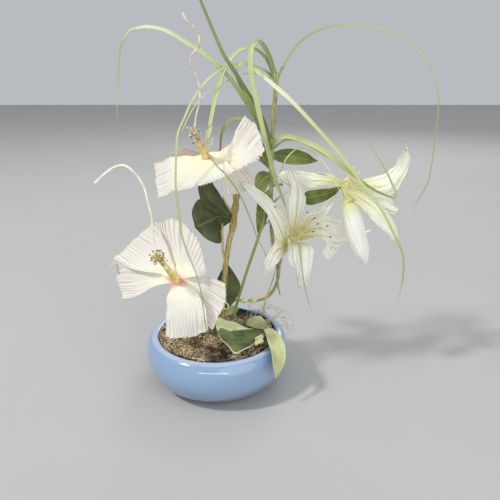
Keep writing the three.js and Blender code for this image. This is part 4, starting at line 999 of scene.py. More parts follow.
# %% Leaf cloth
def leaf_cloth(name, dark, light, vein, side_veins=9.0, slant=1.1, veined=0.6, roughness=0.55,
               under=None):
    """Printed cloth. under holds the dark and light tint of the shade painted inside a fold and the tint of
    its hem.
    """
    leaf = Shader(name, Roughness=roughness, Sheen_Weight=0.1)
    u, v = leaf.uv()
    off = leaf.apart(u, 0.5)
    rib = leaf.ramp(off, 0.035, 0.008)
    saw = leaf.maths("FRACT", leaf.times(leaf.minus(v, leaf.times(off, slant)), side_veins))
    branch = leaf.times(leaf.ramp(leaf.apart(saw, 0.5), 0.1, 0.02), leaf.ramp(off, 0.48, 0.3))
    veins = leaf.maths("MAXIMUM", rib, leaf.times(branch, veined))
    cloth = leaf.blend(leaf.ramp(leaf.clouds(70, detail=5), 0.3, 0.7), dark, light)
    # painted shade: the half of the leaf on one side of the midrib is darker, as if turned from the light
    cloth = leaf.blend(leaf.times(leaf.ramp(u, 0.52, 0.5), 0.35), cloth, dark)
    if under:
        # painted shade: the part of the leaf under the fold line is painted dark, with a pale hem
        low = leaf.blend(leaf.ramp(leaf.clouds(90), 0.35, 0.7), under[0], under[1])
        low = leaf.blend(leaf.ramp(u, 0.05, 0.03), low, under[2])
        fold = leaf.mark("fold")
        cloth = leaf.blend(leaf.ramp(fold, -0.02, 0.02), low, cloth)
        cloth = leaf.blend(leaf.ramp(fold, 1.4, 1.6), cloth, tint(214, 220, 164))
        veins = leaf.times(veins, 0.12)
    leaf.paint(leaf.blend(leaf.times(veins, 0.6), cloth, vein))
    threads = leaf.clouds(1500, detail=2)
    leaf.relief(leaf.plus(veins, leaf.times(threads, 0.35)), 0.6, 0.0008)
    return leaf.material


BROAD_VEINS = (14.0, 2.2, 0.35)
LONG_VEINS = (5.0, 6.0, 0.25, 0.42)
dark_leaf = [leaf_cloth("dark_leaf_top", tint(50, 60, 30), tint(96, 104, 56), tint(134, 140, 84)),
             leaf_cloth("dark_leaf_back", tint(54, 62, 30), tint(96, 106, 58), tint(122, 128, 78))]
pale_leaf = [leaf_cloth("pale_leaf_top", tint(178, 186, 124), tint(222, 224, 172), tint(238, 240, 196),
                        *BROAD_VEINS),
             leaf_cloth("pale_leaf_back", tint(78, 92, 52), tint(118, 130, 80), tint(150, 160, 104),
                        *BROAD_VEINS)]
lily_leaf = [leaf_cloth("lily_leaf_top", tint(84, 104, 38), tint(140, 156, 70), tint(206, 212, 140),
                        *LONG_VEINS),
             leaf_cloth("lily_leaf_back", tint(66, 84, 32), tint(112, 128, 58), tint(170, 178, 104),
                        *LONG_VEINS)]
# the last three tints are the painted shade inside the fold and its pale hem
folded_top = leaf_cloth("folded_leaf_top", tint(206, 212, 148), tint(238, 240, 190),
                        tint(246, 246, 206), 9.0, 1.6, 0.22, 0.7,
                        (tint(78, 92, 44), tint(128, 140, 76), tint(232, 236, 184)))
print("leaf cloths:", len(dark_leaf + pale_leaf + lily_leaf) + 1)

# %% Plain leaves
def finish_leaf(mesh, name, cloths):
    """Finishes a leaf's sheet and, where it stands in the bed, adds its stalk as a second piece."""
    finish_piece(mesh, name + "_cloth", [name], cloths, thickness=0.45)
    if name in PETIOLES:
        stalk = bmesh.new()
        add_tube(stalk, PETIOLES[name], lambda t, angle: 1.25 - 0.25 * t, 20, 10)
        finish_piece(stalk, name + "_petiole", [name], [cane.material])


def make_leaf(name, cloths, widen=1):
    mesh = bmesh.new()
    place, _ = petal_surface(**LEAVES[name], flutter=1.5, waves=2, seed=len(name), widen=widen,
                             point=0.22)
    add_sheet(mesh, place, 28, 48)
    finish_leaf(mesh, name, cloths)


for name in ("hibiscus_leaf_upper", "hibiscus_leaf_lower", "hibiscus_leaf_upright"):
    make_leaf(name, dark_leaf)
make_leaf("leaf_small_back", pale_leaf)
make_leaf("leaf_small_rim", pale_leaf, widen=1.45)
make_leaf("leaf_over_rim", pale_leaf)

# %% [markdown]
# ## The folded leaf over the moss
# One broad leaf lies over the moss with one side folded back, so a light strip of its top and its
# inside, painted dark as shade under the fold, are both seen. A mark says on which side of the fold
# line a corner lies, and the sheet rises to a ridge along that line. A crumpled lobe hangs at its end.

# %% Folded leaf
FOLD_LINE = [1.05, 0.98, 0.82, 0.7, 0.58, 0.45, -0.2]
RIDGE_WIDTH = 0.3
RIDGE_LIFT = Vector((0, -0.5, 1)) * MM
LOBE_MARK = 2.0
folded_name = "leaf_over_moss"
level_place, _ = petal_surface(**LEAVES[folded_name], flutter=1.5, waves=2, seed=len(folded_name))
lobe_place, _ = petal_surface(**CRUMPLED_LOBE, flutter=6, crumple=2.2, seed=3, ragged=0.3, widen=1.15)


def past_fold(s, t):
    """Above 0 on the strip of the leaf that is turned to the light, below 0 under it."""
    return (s + 1) / 2 - along(FOLD_LINE, t) + 0.03 * soft_noise(0, 9 * t, 0)


def ridged_place(s, t):
    ridge = max(0, 1 - abs(past_fold(s, t)) / RIDGE_WIDTH) * min(4 * t, 1)
    return level_place(s, t) + RIDGE_LIFT * ridge


mesh = bmesh.new()
add_sheet(mesh, ridged_place, 60, 60, {"fold": past_fold})
add_sheet(mesh, lobe_place, 26, 26, {"fold": LOBE_MARK})
finish_leaf(mesh, folded_name, [folded_top, pale_leaf[1]])

# %% [markdown]
# ## Leaves of the lilies
# Five long leaves grow from the lily cane. They are plain leaves again, with a narrower blade and
# veins that run nearly along it, so the same function makes them from their own tables and cloth.

# %% Lily leaves
for side in ("right", "under", "pale", "left", "low"):
    make_leaf("lily_leaf_" + side, lily_leaf)

# %% [markdown]
# ## Lilies
# A lily has six tepals round a green throat, and the front one a short loose piece beside them. Each
# is a long sheet with a groove down the middle, a few finer ribs beside it and wavy edges. The white
# cloth turns yellow-green at the base and along the groove. The UV map gives the distance from the
# base and from the groove.

# %% Lily tables, in mm
FRONT_LILY = [
    dict(left=[[75, 20, 146], [66, 12, 163], [54, 2, 193], [41, -10, 211], [28, -24, 230]],
         right=[[79, 18, 159], [75, 14, 181], [61, 6, 206], [45, -8, 222], [29, -24, 233]],
         crease=0.25, ruffle=0.6, ragged=0.12, point=0.12),
    dict(left=[[79, 18, 161], [80, 14, 183], [77, 8, 204], [79, 4, 221], [75, 2, 236], [79, 1, 243]],
         right=[[88, 18, 163], [94, 14, 191], [97, 8, 206], [93, 4, 220], [85, 2, 237], [81, 1, 243]],
         crease=0.3, ruffle=0.9, ragged=0.24, point=0.05),
    dict(left=[[87, 18, 163], [96, 14, 188], [107, 12, 194], [117, 8, 204], [126, 2, 214]],
         right=[[90, 17, 161], [106, 10, 186], [116, 6, 188], [123, 4, 201], [128, 0, 212]],
         crease=0.3, ragged=0.12, point=0.12),
    dict(left=[[88, 17, 165], [101, 16, 181], [113, 14, 186], [126, 12, 188], [136, 12, 183],
               [144, 13, 169]],
         right=[[92, 14, 159], [106, 8, 164], [116, 3, 164], [124, 2, 155], [136, 6, 153],
                [146, 12, 154]],
         crease=0.3, ruffle=1, ragged=0.24, point=0.28, widen=1.05),
    dict(left=[[134, 6, 158], [127, 2, 148], [120, 0, 142]],
         right=[[122, 3, 160], [117, 0, 152], [114, -1, 147]],
         cup=0.2, ragged=0.2, point=0.4, widen=1.3),
    dict(left=[[89, 15, 157], [105, 2, 156], [106, -5, 145], [103, -8, 133], [101, -5, 120],
               [98, 0, 109]],
         right=[[80, 16, 159], [77, 2, 154], [78, -5, 141], [86, -8, 133], [86.5, -5, 121],
                [89, 0, 109]],
         crease=-0.25, ruffle=0.8, ragged=0.24, point=0.09),
    dict(left=[[78, 19, 146], [71, 8, 140], [65, 3, 135], [60, 3, 126], [56.5, 5, 120.5]],
         right=[[75, 18, 155], [65, 8, 160], [58, 3, 150], [51, 3, 135.5], [49.5, 5, 127]],
         cup=0.25, ruffle=0.7, ragged=0.2, point=0.14, widen=1.1),
]
SIDE_LILY = [
    dict(left=[[137, 5, 221], [121, 4, 222], [106, 8, 220], [92, 12, 218], [80, 15, 214],
               [68, 17, 226]],
         right=[[137, 4, 226], [123, 4, 231], [105, 8, 234], [89, 12, 236], [77, 15, 236],
                [65, 17, 234]],
         crease=-0.3, ruffle=0.6, ragged=0.16, point=0.12, widen=1.1),
    dict(left=[[134, 3, 225], [149, 6, 227], [164, 10, 230], [178, 12, 234], [187, 10, 243],
               [192, 4, 257], [194, 0, 263]],
         right=[[135, 3, 221], [152, 4, 216], [170, 6, 209], [185, 7, 211], [196, 4, 229],
                [199, 0, 249], [195.5, 0, 262]],
         crease=-0.25, ruffle=0.8, ragged=0.26, point=0.12, widen=1.1),
    dict(left=[[136, 2, 221], [153, 1, 215], [169, 0, 205], [184, -1, 190], [192, -2, 175],
               [194, -2, 165]],
         right=[[133, 2, 219], [146, 0, 207], [159, -3, 196], [171, -5, 183], [183, -4, 171],
                [190, -3, 164]],
         crease=-0.3, ruffle=0.8, ragged=0.2, point=0.06, widen=1.25),
    dict(left=[[136, 6, 224], [159, 16, 217], [177, 23, 211], [195, 29, 203]],
         right=[[136, 6, 219], [159, 16, 207], [179, 23, 194], [199, 29, 183]],
         ruffle=1.2, tip=[0, 1, 3], ragged=0.34, point=0.2, widen=1.3),
    dict(left=[[131, 6, 224], [119, 28, 229], [112, 50, 228], [117, 70, 220]],
         right=[[137, 7, 222], [137, 30, 220], [134, 52, 217], [121, 71, 217]],
         crease=-0.25, ruffle=0.8, ragged=0.16, point=0.12),
    dict(left=[[134, 7, 224], [141, 32, 226], [151, 52, 223], [172, 66, 212]],
         right=[[138, 6, 220], [158, 27, 211], [172, 44, 206], [175, 64, 208]],
         crease=-0.25, ruffle=0.8, ragged=0.14, point=0.12),
]
print("tepals:", len(FRONT_LILY) + len(SIDE_LILY))

# %% Lily cloth
def lily_cloth(name, glow, glow_reach, dull, bright):
    cloth = Shader(name, Roughness=0.55, Sheen_Weight=0.2, **CLOTH)
    u, v = cloth.uv()
    off = cloth.apart(u, 0.5)
    ribs = cloth.add("TexWave", {"Vector": cloth.stretched((1, 0.04, 1), cloth.uv_map()),
                                 "Scale": 2.2, "Distortion": 1.5, "Detail": 2.0}).outputs["Fac"]
    groove = cloth.ramp(off, 0.1, 0.01)
    press = cloth.times(cloth.ramp(cloth.apart(off, 0.31), 0.035, 0.004), cloth.ramp(v, 0.95, 0.7))
    tone = cloth.blend(cloth.clouds(45, detail=3), dull, bright)
    tone = cloth.blend(cloth.times(cloth.ramp(ribs, 0.55, 0.95), 0.1), tone, tint(206, 198, 172))
    # partly painted shade: the pressed lines are real grooves, and their darker tint is painted shade
    tone = cloth.blend(cloth.times(press, 0.2), tone, tint(176, 166, 134))
    inner = cloth.times(cloth.ramp(v, 0.75, 0.1), cloth.times(groove, 0.7))
    tone = cloth.blend(inner, tone, tint(176, 178, 104))
    near = cloth.times(cloth.ramp(v, glow_reach, 0.0), cloth.mark("glow"))
    cloth.paint(cloth.blend(cloth.times(near, 0.9), tone, glow))
    crumple = cloth.times(cloth.clouds(110, detail=5), 2.2)
    raised = cloth.plus(cloth.times(ribs, 0.25), crumple)
    cloth.relief(cloth.minus(cloth.minus(raised, groove), press), 0.6, 0.0009)
    return cloth.material


front_cloth = lily_cloth("lily_cloth_front", tint(206, 200, 122), 0.3,
                         tint(240, 236, 220), tint(254, 252, 243))
side_cloth = lily_cloth("lily_cloth_side", tint(220, 216, 140), 0.52,
                        tint(236, 232, 208), tint(253, 251, 236))
print("lily cloths:", front_cloth.name, side_cloth.name)

# %% Tepals and throats
THROAT_WIDTHS = [2.6, 4, 6.6]
LOOSE_TEPAL = 4


def lily_head(side, tepals, finish, loose=None):
    """The tepals of one lily. The loose one lies away from the throat, so it has no glow there."""
    mesh = bmesh.new()
    for index, tepal in enumerate(tepals):
        place, _ = petal_surface(**tepal, flutter=4.2, crumple=2.2, seed=index * 2.9 + 1)
        add_sheet(mesh, place, 34, 68, {"glow": float(index != loose)})
    finish_piece(mesh, side + "_lily_tepals", [f"lily_{side}_petals"], [finish],
                 thickness=0.45)


lily_head("front", FRONT_LILY, front_cloth, LOOSE_TEPAL)
lily_head("side", SIDE_LILY, side_cloth)
mesh = bmesh.new()
foot, mouth = Vector((77, 23, 146)), Vector((0.41, -0.5, 0.76)).normalized()
add_tube(mesh, [foot + mouth * out for out in (0, 8, 16.5)], ribbed(THROAT_WIDTHS, 6, 0.05), 20, 24)
add_tube(mesh, [[135, 6.5, 221], [137, 5, 222.5], [139.5, 4, 223.5]],
         lambda t, angle: 2.6 + math.sin(3 * t), 8, 16)
throat = mixed("lily_throat", tint(192, 194, 124), tint(238, 236, 196), 90, 0.55)
finish_piece(mesh, "lily_tubes", ["lily_front_petals", "lily_side_petals"], [throat])

# %% [markdown]
# ## Stamens and pistils of the lilies
# Fine filaments and a thicker pistil rise from each throat. The filaments are tubes; the anthers are
# small beans lying across their ends, dark red-brown on the front lily and pale on the other, and
# the pistil ends in a pale knob. The first end in each table is the pistil's.

# %% Stamens
FRONT_STAMENS = dict(throat=[84.5, 13.3, 160],
                     ends=[[113, -6, 180], [105, 2, 188], [108, -5, 184], [118, -6, 182],
                           [121, -10, 171], [97, 0, 195], [103, -10, 177], [63, -8, 203]])
SIDE_STAMENS = dict(throat=[141, 13, 219],
                    ends=[[154, 56, 232], [148, 50, 235], [144, 48, 226], [160, 50, 228],
                          [152, 52, 222]])
KNOB = 1.9
POLLEN_BEAN = 0.85


def long_bean(corner):
    corner.z *= 2.0
    corner.x *= 1 - 0.3 * abs(corner.z) / (1.7 * MM)


filament = mixed("lily_filament", tint(206, 190, 110), tint(244, 236, 184), 120, 0.5)
pollen = mixed("lily_pollen", tint(96, 48, 30), tint(186, 126, 80), 600, 0.8)
for side, table, anther in (("front", FRONT_STAMENS, pollen), ("side", SIDE_STAMENS, filament)):
    root = Vector(table["throat"])
    threads, beans = bmesh.new(), bmesh.new()
    for index, end in enumerate(map(Vector, table["ends"])):
        middle = (root + end) / 2 + Vector((0, 0, 2))
        thick = 0.75 if index else 1.1
        add_tube(threads, [root, middle, end], lambda t, angle: thick * (1.25 - 0.5 * t), 20, 10)
        if index:
            add_bean(beans, POLLEN_BEAN, long_bean, (0, 0, 1), Vector((0.7, -0.3, 0.5)), end)
        else:
            knob = bmesh.ops.create_icosphere(threads, subdivisions=2, radius=KNOB * MM)["verts"]
            bmesh.ops.translate(threads, vec=end * MM, verts=knob)
    node = [f"lily_{side}_stamens"]
    finish_piece(threads, side + "_lily_filaments", node, [filament])
    finish_piece(beans, side + "_lily_anthers", node, [anther])

# %% [markdown]
# ## The lily bud
# A closed bud is three tepals furled round each other. It is a rolled tube with three soft lobes that
# turn slowly along its length, and a deeper fold where one tepal laps over the next. A small loose
# tip stands off at its side.

# %% Bud
BUD_ROUTE = [[137, -9, 208], [143, -11, 190], [148, -12, 173], [154, -13, 156], [159, -14, 143]]
BUD_WIDTHS = [6.2, 8.4, 9.3, 9.7, 9.7, 9.4, 8.9, 7.8, 5.6, 1.8]


def bud_radius(t, angle):
    turned = angle + 0.8 * t
    lobes = 0.05 * math.cos(3 * turned)
    lap = (turned / math.tau * 3) % 1
    fold = -0.1 * math.exp(-(min(lap, 1 - lap) / 0.05) ** 2)
    return along(BUD_WIDTHS, t) * (1 + lobes + fold)


def loose_tip(t, angle):
    return (2.4 - 2.2 * t) * (1 - 0.4 * abs(math.sin(angle)))


mesh = bmesh.new()
add_tube(mesh, BUD_ROUTE, bud_radius, 70, 72)
add_tube(mesh, [[152, -14, 177], [157, -16, 178.5], [161.5, -17.5, 181.5]], loose_tip, 14, 10)
furled = Shader("furled_cloth", Roughness=0.55, Sheen_Weight=0.2, **CLOTH)
_, v = furled.uv()
ribbing = furled.clouds(1, furled.stretched((34, 2.2, 1), furled.uv_map()), detail=3)
tone = furled.blend(ribbing, tint(226, 226, 214), tint(252, 252, 244))
furled.paint(furled.blend(furled.ramp(v, 0.3, 0.02), tone, tint(214, 216, 160)))
furled.relief(ribbing, 0.4, 0.0006)
finish_piece(mesh, "furled_bud", ["lily_bud"], [furled.material])

# %% Neck and green ring of the bud
COLLAR_WIDTHS = [2.4, 5.2, 6.8, 7.2, 6.8]


def collar_radius(t, angle):
    return along(COLLAR_WIDTHS, t) * (1 + 0.07 * math.cos(9 * angle) + 0.05 * math.cos(4 * angle))


mesh = bmesh.new()
add_tube(mesh, [[133, 6, 220], [134, 0, 216], [136, -7, 211.5]], lambda t, angle: 1.8 + 0.3 * t, 24, 14)
ring = Vector((136.6, -8.2, 209.5))
aim = Vector((0.32, -0.1, -0.94)).normalized()
add_tube(mesh, [ring + aim * out for out in (-3, -0.4, 2.3)], collar_radius, 20, 36)
collar = mixed("green_collar", tint(150, 158, 78), tint(226, 226, 156), 130, 0.55)
finish_piece(mesh, "bud_collar", ["lily_bud_neck"], [collar])

# %% [markdown]
# ## Grass
# The grass is moulded plastic: long blades with fine parallel veins and a soft fold along the middle.
# A blade is a sheet on a route with a width that changes along it. Its upper side is a light
# yellow-green and its back the same green painted darker as shade, so a blade that bends over changes
# colour at the bend. Each blade's list of tones shades it from base to tip, partly its own tone and
# partly painted light and shade: -1 is a near-white painted highlight, 0 light and 1 dark painted shade.

# %% Grass tables, in mm
# the tones of each blade are partly painted light and shade: below 0 a painted highlight, above 0 painted
# shade
TOP_GRASS = [
    dict(route=[[63, 20, 328], [54, 14, 352], [46, 6, 361], [39, -3, 356], [38, -8, 333],
                [44, -10, 304], [53, -12, 267], [62, -20, 234], [71, -32, 211], [76, -42, 190],
                [83, -47, 179], [87, -50, 157], [92, -49, 130], [101, -44, 98]],
         half_width=[2.2, 2.3, 2.2, 2.2, 2.3, 2.4, 2.2, 1.8, 1.0, 0.5, 0.5, 0.5, 0.5, 0.35],
         tones=[0.7, 0.6, 0.1, -0.2, 0.0, 0.2, 0.3, 0.3, 0.4, 0.6, 0.5, 0.2]),
    dict(route=[[62, 19, 328], [53, 17, 346], [44, 15, 354], [35, 14, 356], [27, 14, 354],
                [18, 12, 346], [11, 8, 334], [5, -4, 315], [1, -20, 296], [-2, -38, 274],
                [-2, -50, 263]],
         half_width=[1.8, 1.5, 1.5, 1.6, 1.8, 1.9, 1.9, 1.6, 1.0],
         tones=[0.7, 0.6, -0.3, -0.4, 0, 0.1, 0.3]),
    dict(route=[[-2, -49, 264], [7, -64, 255], [16, -70, 247], [28, -62, 227], [40, -38, 191],
                [46, -16, 168], [53, 6, 149], [57, 13, 129], [61, 19, 115]],
         half_width=[0.7, 0.6, 0.55, 0.5, 0.4, 0.35, 0.3], tones=[0.6, 0.4, 0.2, -0.6]),
    dict(route=[[62, 21, 327], [44, 20, 332], [30, 20, 332], [18, 20, 327], [2, 19, 320],
                [-12, 17, 309], [-21, 14, 298], [-30, 10, 281], [-33, 8, 274]],
         half_width=[1.0, 0.7, 0.6, 0.5, 0.4, 0.3], tones=[0.4, -0.2, -0.7, -0.6]),
    dict(route=[[61, 23, 329], [49, 20, 337], [35, 14, 341], [23, 8, 341], [11, 2, 337], [-3, -6, 327],
                [-16, -20, 310], [-23, -36, 294], [-28, -48, 281], [-29, -58, 263], [-29, -70, 234],
                [-26, -78, 213], [-24, -84, 198], [-18, -88, 179], [-12, -90, 164], [-8, -91, 147],
                [-6, -90, 127], [-5, -87, 110], [-2, -82, 94]],
         half_width=[1.3, 1.0, 0.9, 1.0, 1.1, 1.1, 1.0, 0.9, 0.8, 0.9, 0.8, 0.5, 0.4, 0.4, 0.4, 0.3],
         tones=[0.5, -0.2, -0.5, 0, 0.3, 0.3, 0.4, 0.6]),
    dict(route=[[64, 19, 327], [70, 20, 339], [84, 24, 359], [97, 26, 369], [112, 28, 375],
                [134, 28, 378], [156, 28, 376], [172, 28, 372], [186, 27, 367], [199, 26, 358],
                [212, 25, 346], [221, 24, 333], [226, 23, 319], [229, 22, 305], [229, 20, 267],
                [228, 18, 241], [225, 16, 222], [217, 14, 206], [208, 12, 192], [204, 10, 182]],
         half_width=[1.2, 0.9, 0.7, 0.65, 0.6, 0.5, 0.5, 0.4], tones=[0.7, 0.3, 0.0, 0.2, 0.5, -0.3]),
]
MIDDLE_GRASS = [
    dict(route=[[60, 26, 256], [54, 22, 279], [43, 14, 301], [33, 6, 317], [21, -6, 336],
                [13, -10, 348], [6, -12, 363], [-7, -16, 394], [-15, -18, 415], [-24, -22, 438],
                [-35, -28, 461]],
         half_width=[1.8, 2.1, 2.0, 1.8, 1.5, 1.2, 0.9, 0.6], tones=[0.9, 0.9, 0.8, 0.7, 0.8, 0.9]),
    dict(route=[[59, 27, 257], [49, 24, 278], [27, 21, 314], [17, 18, 328], [7.5, 15, 338],
                [-2, 14, 346], [-16, 13, 356], [-28, 12, 362.6], [-37, 10, 368], [-48, 8, 372.3],
                [-60, 6.5, 374], [-69, 6, 373], [-76, 5, 371], [-82, 4, 364.3], [-86.5, 3, 353.3],
                [-90, 2, 330.8], [-92, 2, 315.2], [-95, 2, 287.8]],
         half_width=[1.5, 2.0, 2.2, 2.3, 2.0, 1.7, 1.3, 0.9, 0.7, 0.5],
         tones=[0.6, 0.3, 0.0, -0.2, -0.6, -0.9, -0.8, -0.3, 0.3, 0.2, -0.2]),
    dict(route=[[60, 25, 257], [49, 16, 283], [37, 8, 306], [27, 4, 323], [24, 2, 334], [27.5, 1, 341],
                [34, 1, 341], [41, 0, 336], [52, -3, 328], [63, -6, 319], [75, -9, 309],
                [101, -16, 283], [125, -24, 257], [145, -31, 232], [164, -37, 208], [179, -40, 182],
                [188, -41, 164], [191, -41, 146], [191, -40, 127], [188, -38, 103]],
         half_width=[1.9, 2.0, 1.7, 1.5, 1.5, 1.8, 2.0, 2.1, 1.8, 1.4, 1.3, 1.2, 1.0, 0.8, 0.4],
         tones=[0.9, 0.7, 0.3, 0, 0, -0.8, -1, -0.2, 0, 0.1, 0.3, 0.3, 0]),
    dict(route=[[61, 24, 258], [65, 22, 267], [73, 18, 271], [86, 12, 269], [110, 2, 259],
                [133, -10, 242], [157, -20, 225], [173, -25, 218], [179, -27, 216]],
         half_width=[1.3, 1.6, 2.2, 2.6, 2.5, 1.4, 0.9, 0.8], tones=[0.5, -0.2, 0, 0.7, 1]),
    dict(route=[[178, -27, 216], [180, -28, 220], [176, -29, 229], [163, -32, 251], [144, -36, 276]],
         half_width=[0.8, 1.0, 1.1, 0.9, 0.7, 0.35], tones=[0.3, 0.1, 0.1, -0.2]),
    dict(route=[[62, 28, 257], [68, 26, 263], [75, 24, 267], [87, 20, 266], [103, 14, 259],
                [119, 8, 250], [125, 6, 246]],
         half_width=[1.0, 0.8, 0.5], tones=[0.7, 0.5, 0.3]),
    dict(route=[[58, 29, 257], [49, 24, 275], [40, 18, 284], [31, 12, 288], [23, 8, 290], [14, 5, 286],
                [9, 4, 277], [6, 5, 248]],
         half_width=[1.3, 1.2, 1.4, 1.6, 1.5], tones=[0.6, 0.2, 0.1, 0.8, 1]),
]
LOW_GRASS = [
    dict(route=[[18, 26, 60], [22, 23, 80], [29, 20, 106], [35, 17, 127], [41, 16, 146], [47, 16, 165],
                [51, 16, 179], [53, 15, 194], [55, 15, 209]],
         half_width=[1.6, 1.6, 1.6, 1.3, 0.8], tones=[0.4, 0.5, 0.6, 0.8]),
    dict(route=[[46, 16, 163], [52, 17, 175], [59, 18, 182], [65, 19, 190], [71, 19, 197]],
         half_width=[0.9, 0.8, 0.5], tones=[0.6, 0.4]),
]
RIM_GRASS = [dict(route=[[51, 27, 60], [54, 26, 76], [57, 25, 89], [61, 24, 102], [64, 24, 112],
                         [67, 25, 125]],
                  half_width=[0.9, 0.85, 0.8, 0.6], tones=[0.0, 0.1, 0.4])]
ARCH_GRASS = [dict(route=[[62, 32, 219], [66, 30, 226], [71, 29, 236], [77, 26, 249], [87, 22, 258],
                          [97, 18, 258], [106, 11, 253], [115, 4, 243], [125, -5, 226],
                          [130, -11, 216]],
                   half_width=[0.7, 0.6, 0.55, 0.4], tones=[0.3, -0.8, -1, -0.6])]
SHORT_GRASS = [dict(route=[[60, 32, 195], [70, 26, 206], [78, 21, 212]],
                    half_width=[1, 0.6], tones=[0.5, 0.1])]
GRASS = {"top": TOP_GRASS, "middle": MIDDLE_GRASS, "low": LOW_GRASS, "rim": RIM_GRASS,
         "arch": ARCH_GRASS, "short": SHORT_GRASS}
print("blades:", sum(len(blades) for blades in GRASS.values()))

# %% Grass finish
def grass_finish(name, light, middle, dark, vein):
    grass = Shader(name, Roughness=0.42)
    tone = grass.mark("tone")
    # tone paints light and shade: below 0 a near-white painted highlight, above 0 darker painted shade
    base = grass.blend(grass.ramp(tone, -1.0, 0.0), tint(234, 237, 206), light)
    base = grass.blend(grass.ramp(tone, 0.0, 0.5), base, middle)
    base = grass.blend(grass.ramp(tone, 0.5, 1.0), base, dark)
    base = grass.blend(grass.times(grass.clouds(30, detail=2), 0.35), base, middle)
    veins = grass.add("TexWave", {"Vector": grass.stretched((1, 0, 1), grass.uv_map()),
                                  "Scale": 1.1, "Distortion": 0.0}).outputs["Fac"]
    grass.paint(grass.blend(grass.times(grass.ramp(veins, 0.5, 1.0), 0.25), base, vein))
    grass.relief(veins, 0.25, 0.0003)
    return grass.material


blade_top = grass_finish("blade_top", tint(190, 202, 138), tint(142, 156, 88), tint(94, 104, 52),
                         tint(226, 232, 186))
# painted shade: the back is the same green darkened, as if in shade
blade_back = grass_finish("blade_back", tint(146, 158, 86), tint(108, 120, 58), tint(70, 80, 36),
                          tint(160, 172, 100))
print("grass finishes:", blade_top.name, blade_back.name)

# %% Blades
FACING = Vector((0, -1, 0.33))
ROWS_A_POINT = 8
TAPERED_ROWS = 10


def add_blade(mesh, route, half_width, tones):
    line = spline(route)
    rows = ROWS_A_POINT * (len(route) - 1)

    def place(s, t):
        ahead = direction(line, t, 0.004)
        across = ahead.cross(FACING).normalized()
        face = across.cross(ahead).normalized()
        point = min(1.0, max((1 - t) * rows / TAPERED_ROWS, 0.0)) ** 0.6
        half = max(along(half_width, t) * point, 0.05) * MM
        return line(t) + across * (s * half) - face * (0.4 * half * (1 - math.hypot(s, 0.15)))

    add_sheet(mesh, place, 8, rows, {"tone": lambda s, t: along(tones, t)})


for bunch, blades in GRASS.items():
    mesh = bmesh.new()
    for blade in blades:
        add_blade(mesh, **blade)
    finish_piece(mesh, "blades_" + bunch, ["grass_" + bunch], [blade_top, blade_back],
                 thickness=0.4)

# %% [markdown]
# ## Where the blades are joined
# The blades of a bunch come out of a short double sheath with a few cut bits of leaf, and the low
# blades stand on round stalks. They are tubes with the finish of the blades.

# %% Sheaths and stalks of the grass
SHEATHS = [((63, 20.2, 328), (0.03, -0.1, 1)), ((60.3, 27.4, 262), (0.04, -0.1, 1))]
LAYERS = [(-6, 1, 2.5), (-4, 4, 2.7)]
CUT_BITS = 5
STALKS = [([[17, 27, 44], [17, 27, 54], [19, 25, 66]], 1.25),
          ([[51, 28, 44], [50.5, 28, 54], [52, 26.6, 66]], 0.95)]


def cut_bit(t, angle):
    return (1.2 - 1.05 * t) * (1 - 0.4 * abs(math.sin(angle)))


mesh = bmesh.new()
for centre, lean in SHEATHS:
    centre, lean = Vector(centre), Vector(lean).normalized()
    for k, (low, high, wide) in enumerate(LAYERS):
        add_tube(mesh, [centre + lean * up for up in (low, (low + high) / 2, high)],
                 lambda t, angle: (wide + 0.5 * math.sin(math.pi * t)
                                   + 0.35 * math.sin(3 * angle + k * 2) * t), 20, 20, {"tone": 0.4})
    for k in range(CUT_BITS):
        turn = 1.3 * k + centre.z
        out = Vector((math.cos(turn), math.sin(turn), 0))
        route = [centre + out * away + lean * up for away, up in ((2, 2), (2.6, 5), (2.6 + 0.5 * k, 6 + k))]
        add_tube(mesh, route, cut_bit, 8, 8, {"tone": -0.3})
for route, thick in STALKS:
    add_tube(mesh, route, lambda t, angle: thick - 0.2 * t, 20, 10, {"tone": 0.35})
finish_piece(mesh, "grass_roots", ["grass_top", "grass_middle", "grass_low", "grass_rim"],
             [blade_top])

# %% [markdown]
# ## Frayed threads
# Cheap cloth petals fray where they are cut. Two small tangles of loose threads at the left edge of
# the left bloom and a few fine white ones in the throat of the top bloom make the cloth believable.

# %% Threads
TANGLES = [((-108.5, -7, 138.5), 3.0, 6), ((-106.5, -10, 134), 2.4, 5)]
TOP_THROAT = (-7.4, -27, 262)
WISP_ENDS = [(1.9, -34, 286.2), (2.8, -38, 275.5), (-1.1, -34, 281), (-4.1, -30, 282), (1.5, -36, 271)]


def scattered(chance, centre, reach):
    """A random place near a centre, in mm."""
    return Vector(centre) + Vector([chance.uniform(-reach, reach) for _ in range(3)])


chance = random.Random(23)
tangles = [sampled([scattered(chance, centre, reach) for _ in range(6)], 20)
           for centre, reach, count in TANGLES for _ in range(count)]
cotton = fibre_finish("thread", tint(206, 200, 180), tint(246, 242, 230))
add_fibres(chance, "frayed_threads", tangles, 0.26, cotton, "hibiscus_left_petals")
white_cotton = mixed("white_threads", tint(236, 232, 220), tint(254, 253, 248), 400)
wisps = []
for end in WISP_ENDS:
    root = scattered(chance, TOP_THROAT, 1)
    wisps.append(sampled([root, (root + Vector(end)) / 2 + Vector((1, 0, -1)), end], 8))
add_fibres(chance, "throat_threads", wisps, 0.36, white_cotton, "hibiscus_top_petals")

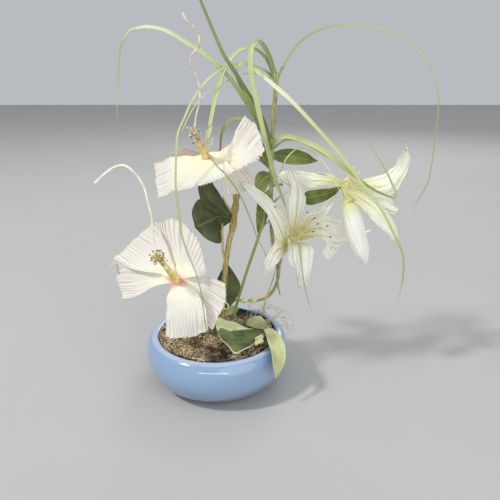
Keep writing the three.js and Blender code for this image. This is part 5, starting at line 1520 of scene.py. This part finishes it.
# %% [markdown]
# ## Light, floor and background
# A plain pale floor and soft light keep the colours true. The key lamp hangs high on the left and is
# small enough to draw shadows. A broad one fills from the front, a long thin strip shines in the
# glaze of the bowl and a weak lamp picks out the edges from behind.

# %% Floor
mesh = bmesh.new()
bmesh.ops.create_grid(mesh, x_segments=1, y_segments=1, size=6)
data = bpy.data.meshes.new("floor")
mesh.to_mesh(data)
mesh.free()
paper = Shader("pale_floor", Roughness=0.9)
paper.paint(paper.blend(paper.clouds(3), tint(180, 180, 178), tint(188, 188, 186)))
data.materials.append(paper.material)
floor = bpy.data.objects.new("floor", data)
bpy.context.scene.collection.objects.link(floor)
print("floor faces:", len(data.polygons))

# %% Lamps
HEART = Vector((0.02, 0, 0.2))
# name, place and size in metres, power in watts, colour and shape
LAMPS = [
    ("key", (-2.0, -0.9, 2.6), (0.34, 0.34), 60, (1, 0.985, 0.955), "ELLIPSE"),
    ("fill", (1.4, -2.0, 1.2), (3.0, 3.0), 28, (0.97, 0.98, 1), "ELLIPSE"),
    ("strip", (-0.18, -2.5, 0.67), (2.0, 0.12), 9, (1, 1, 1), "RECTANGLE"),
    ("back", (0.8, 2.0, 1.6), (1.2, 1.2), 14, (1, 1, 1), "RECTANGLE"),
]
for name, place, (width, depth), power, colour, shape in LAMPS:
    light = bpy.data.lights.new(name, "AREA")
    light.shape = shape
    light.size = width
    light.size_y = depth
    light.energy = power
    light.color = colour
    lamp = bpy.data.objects.new(name, light)
    lamp.location = place
    lamp.rotation_euler = (HEART - Vector(place)).to_track_quat("-Z", "Y").to_euler()
    bpy.context.scene.collection.objects.link(lamp)
print("lamps:", len(LAMPS))

# %% Sky
world = bpy.data.worlds.new("studio")
world.use_nodes = True
sky = world.node_tree.nodes["Background"].inputs
sky["Color"].default_value = (0.8, 0.83, 0.87, 1)
sky["Strength"].default_value = 0.6
bpy.context.scene.world = world
bpy.context.scene.view_settings.view_transform = "Standard"
print("sky strength:", round(sky["Strength"].default_value, 2))
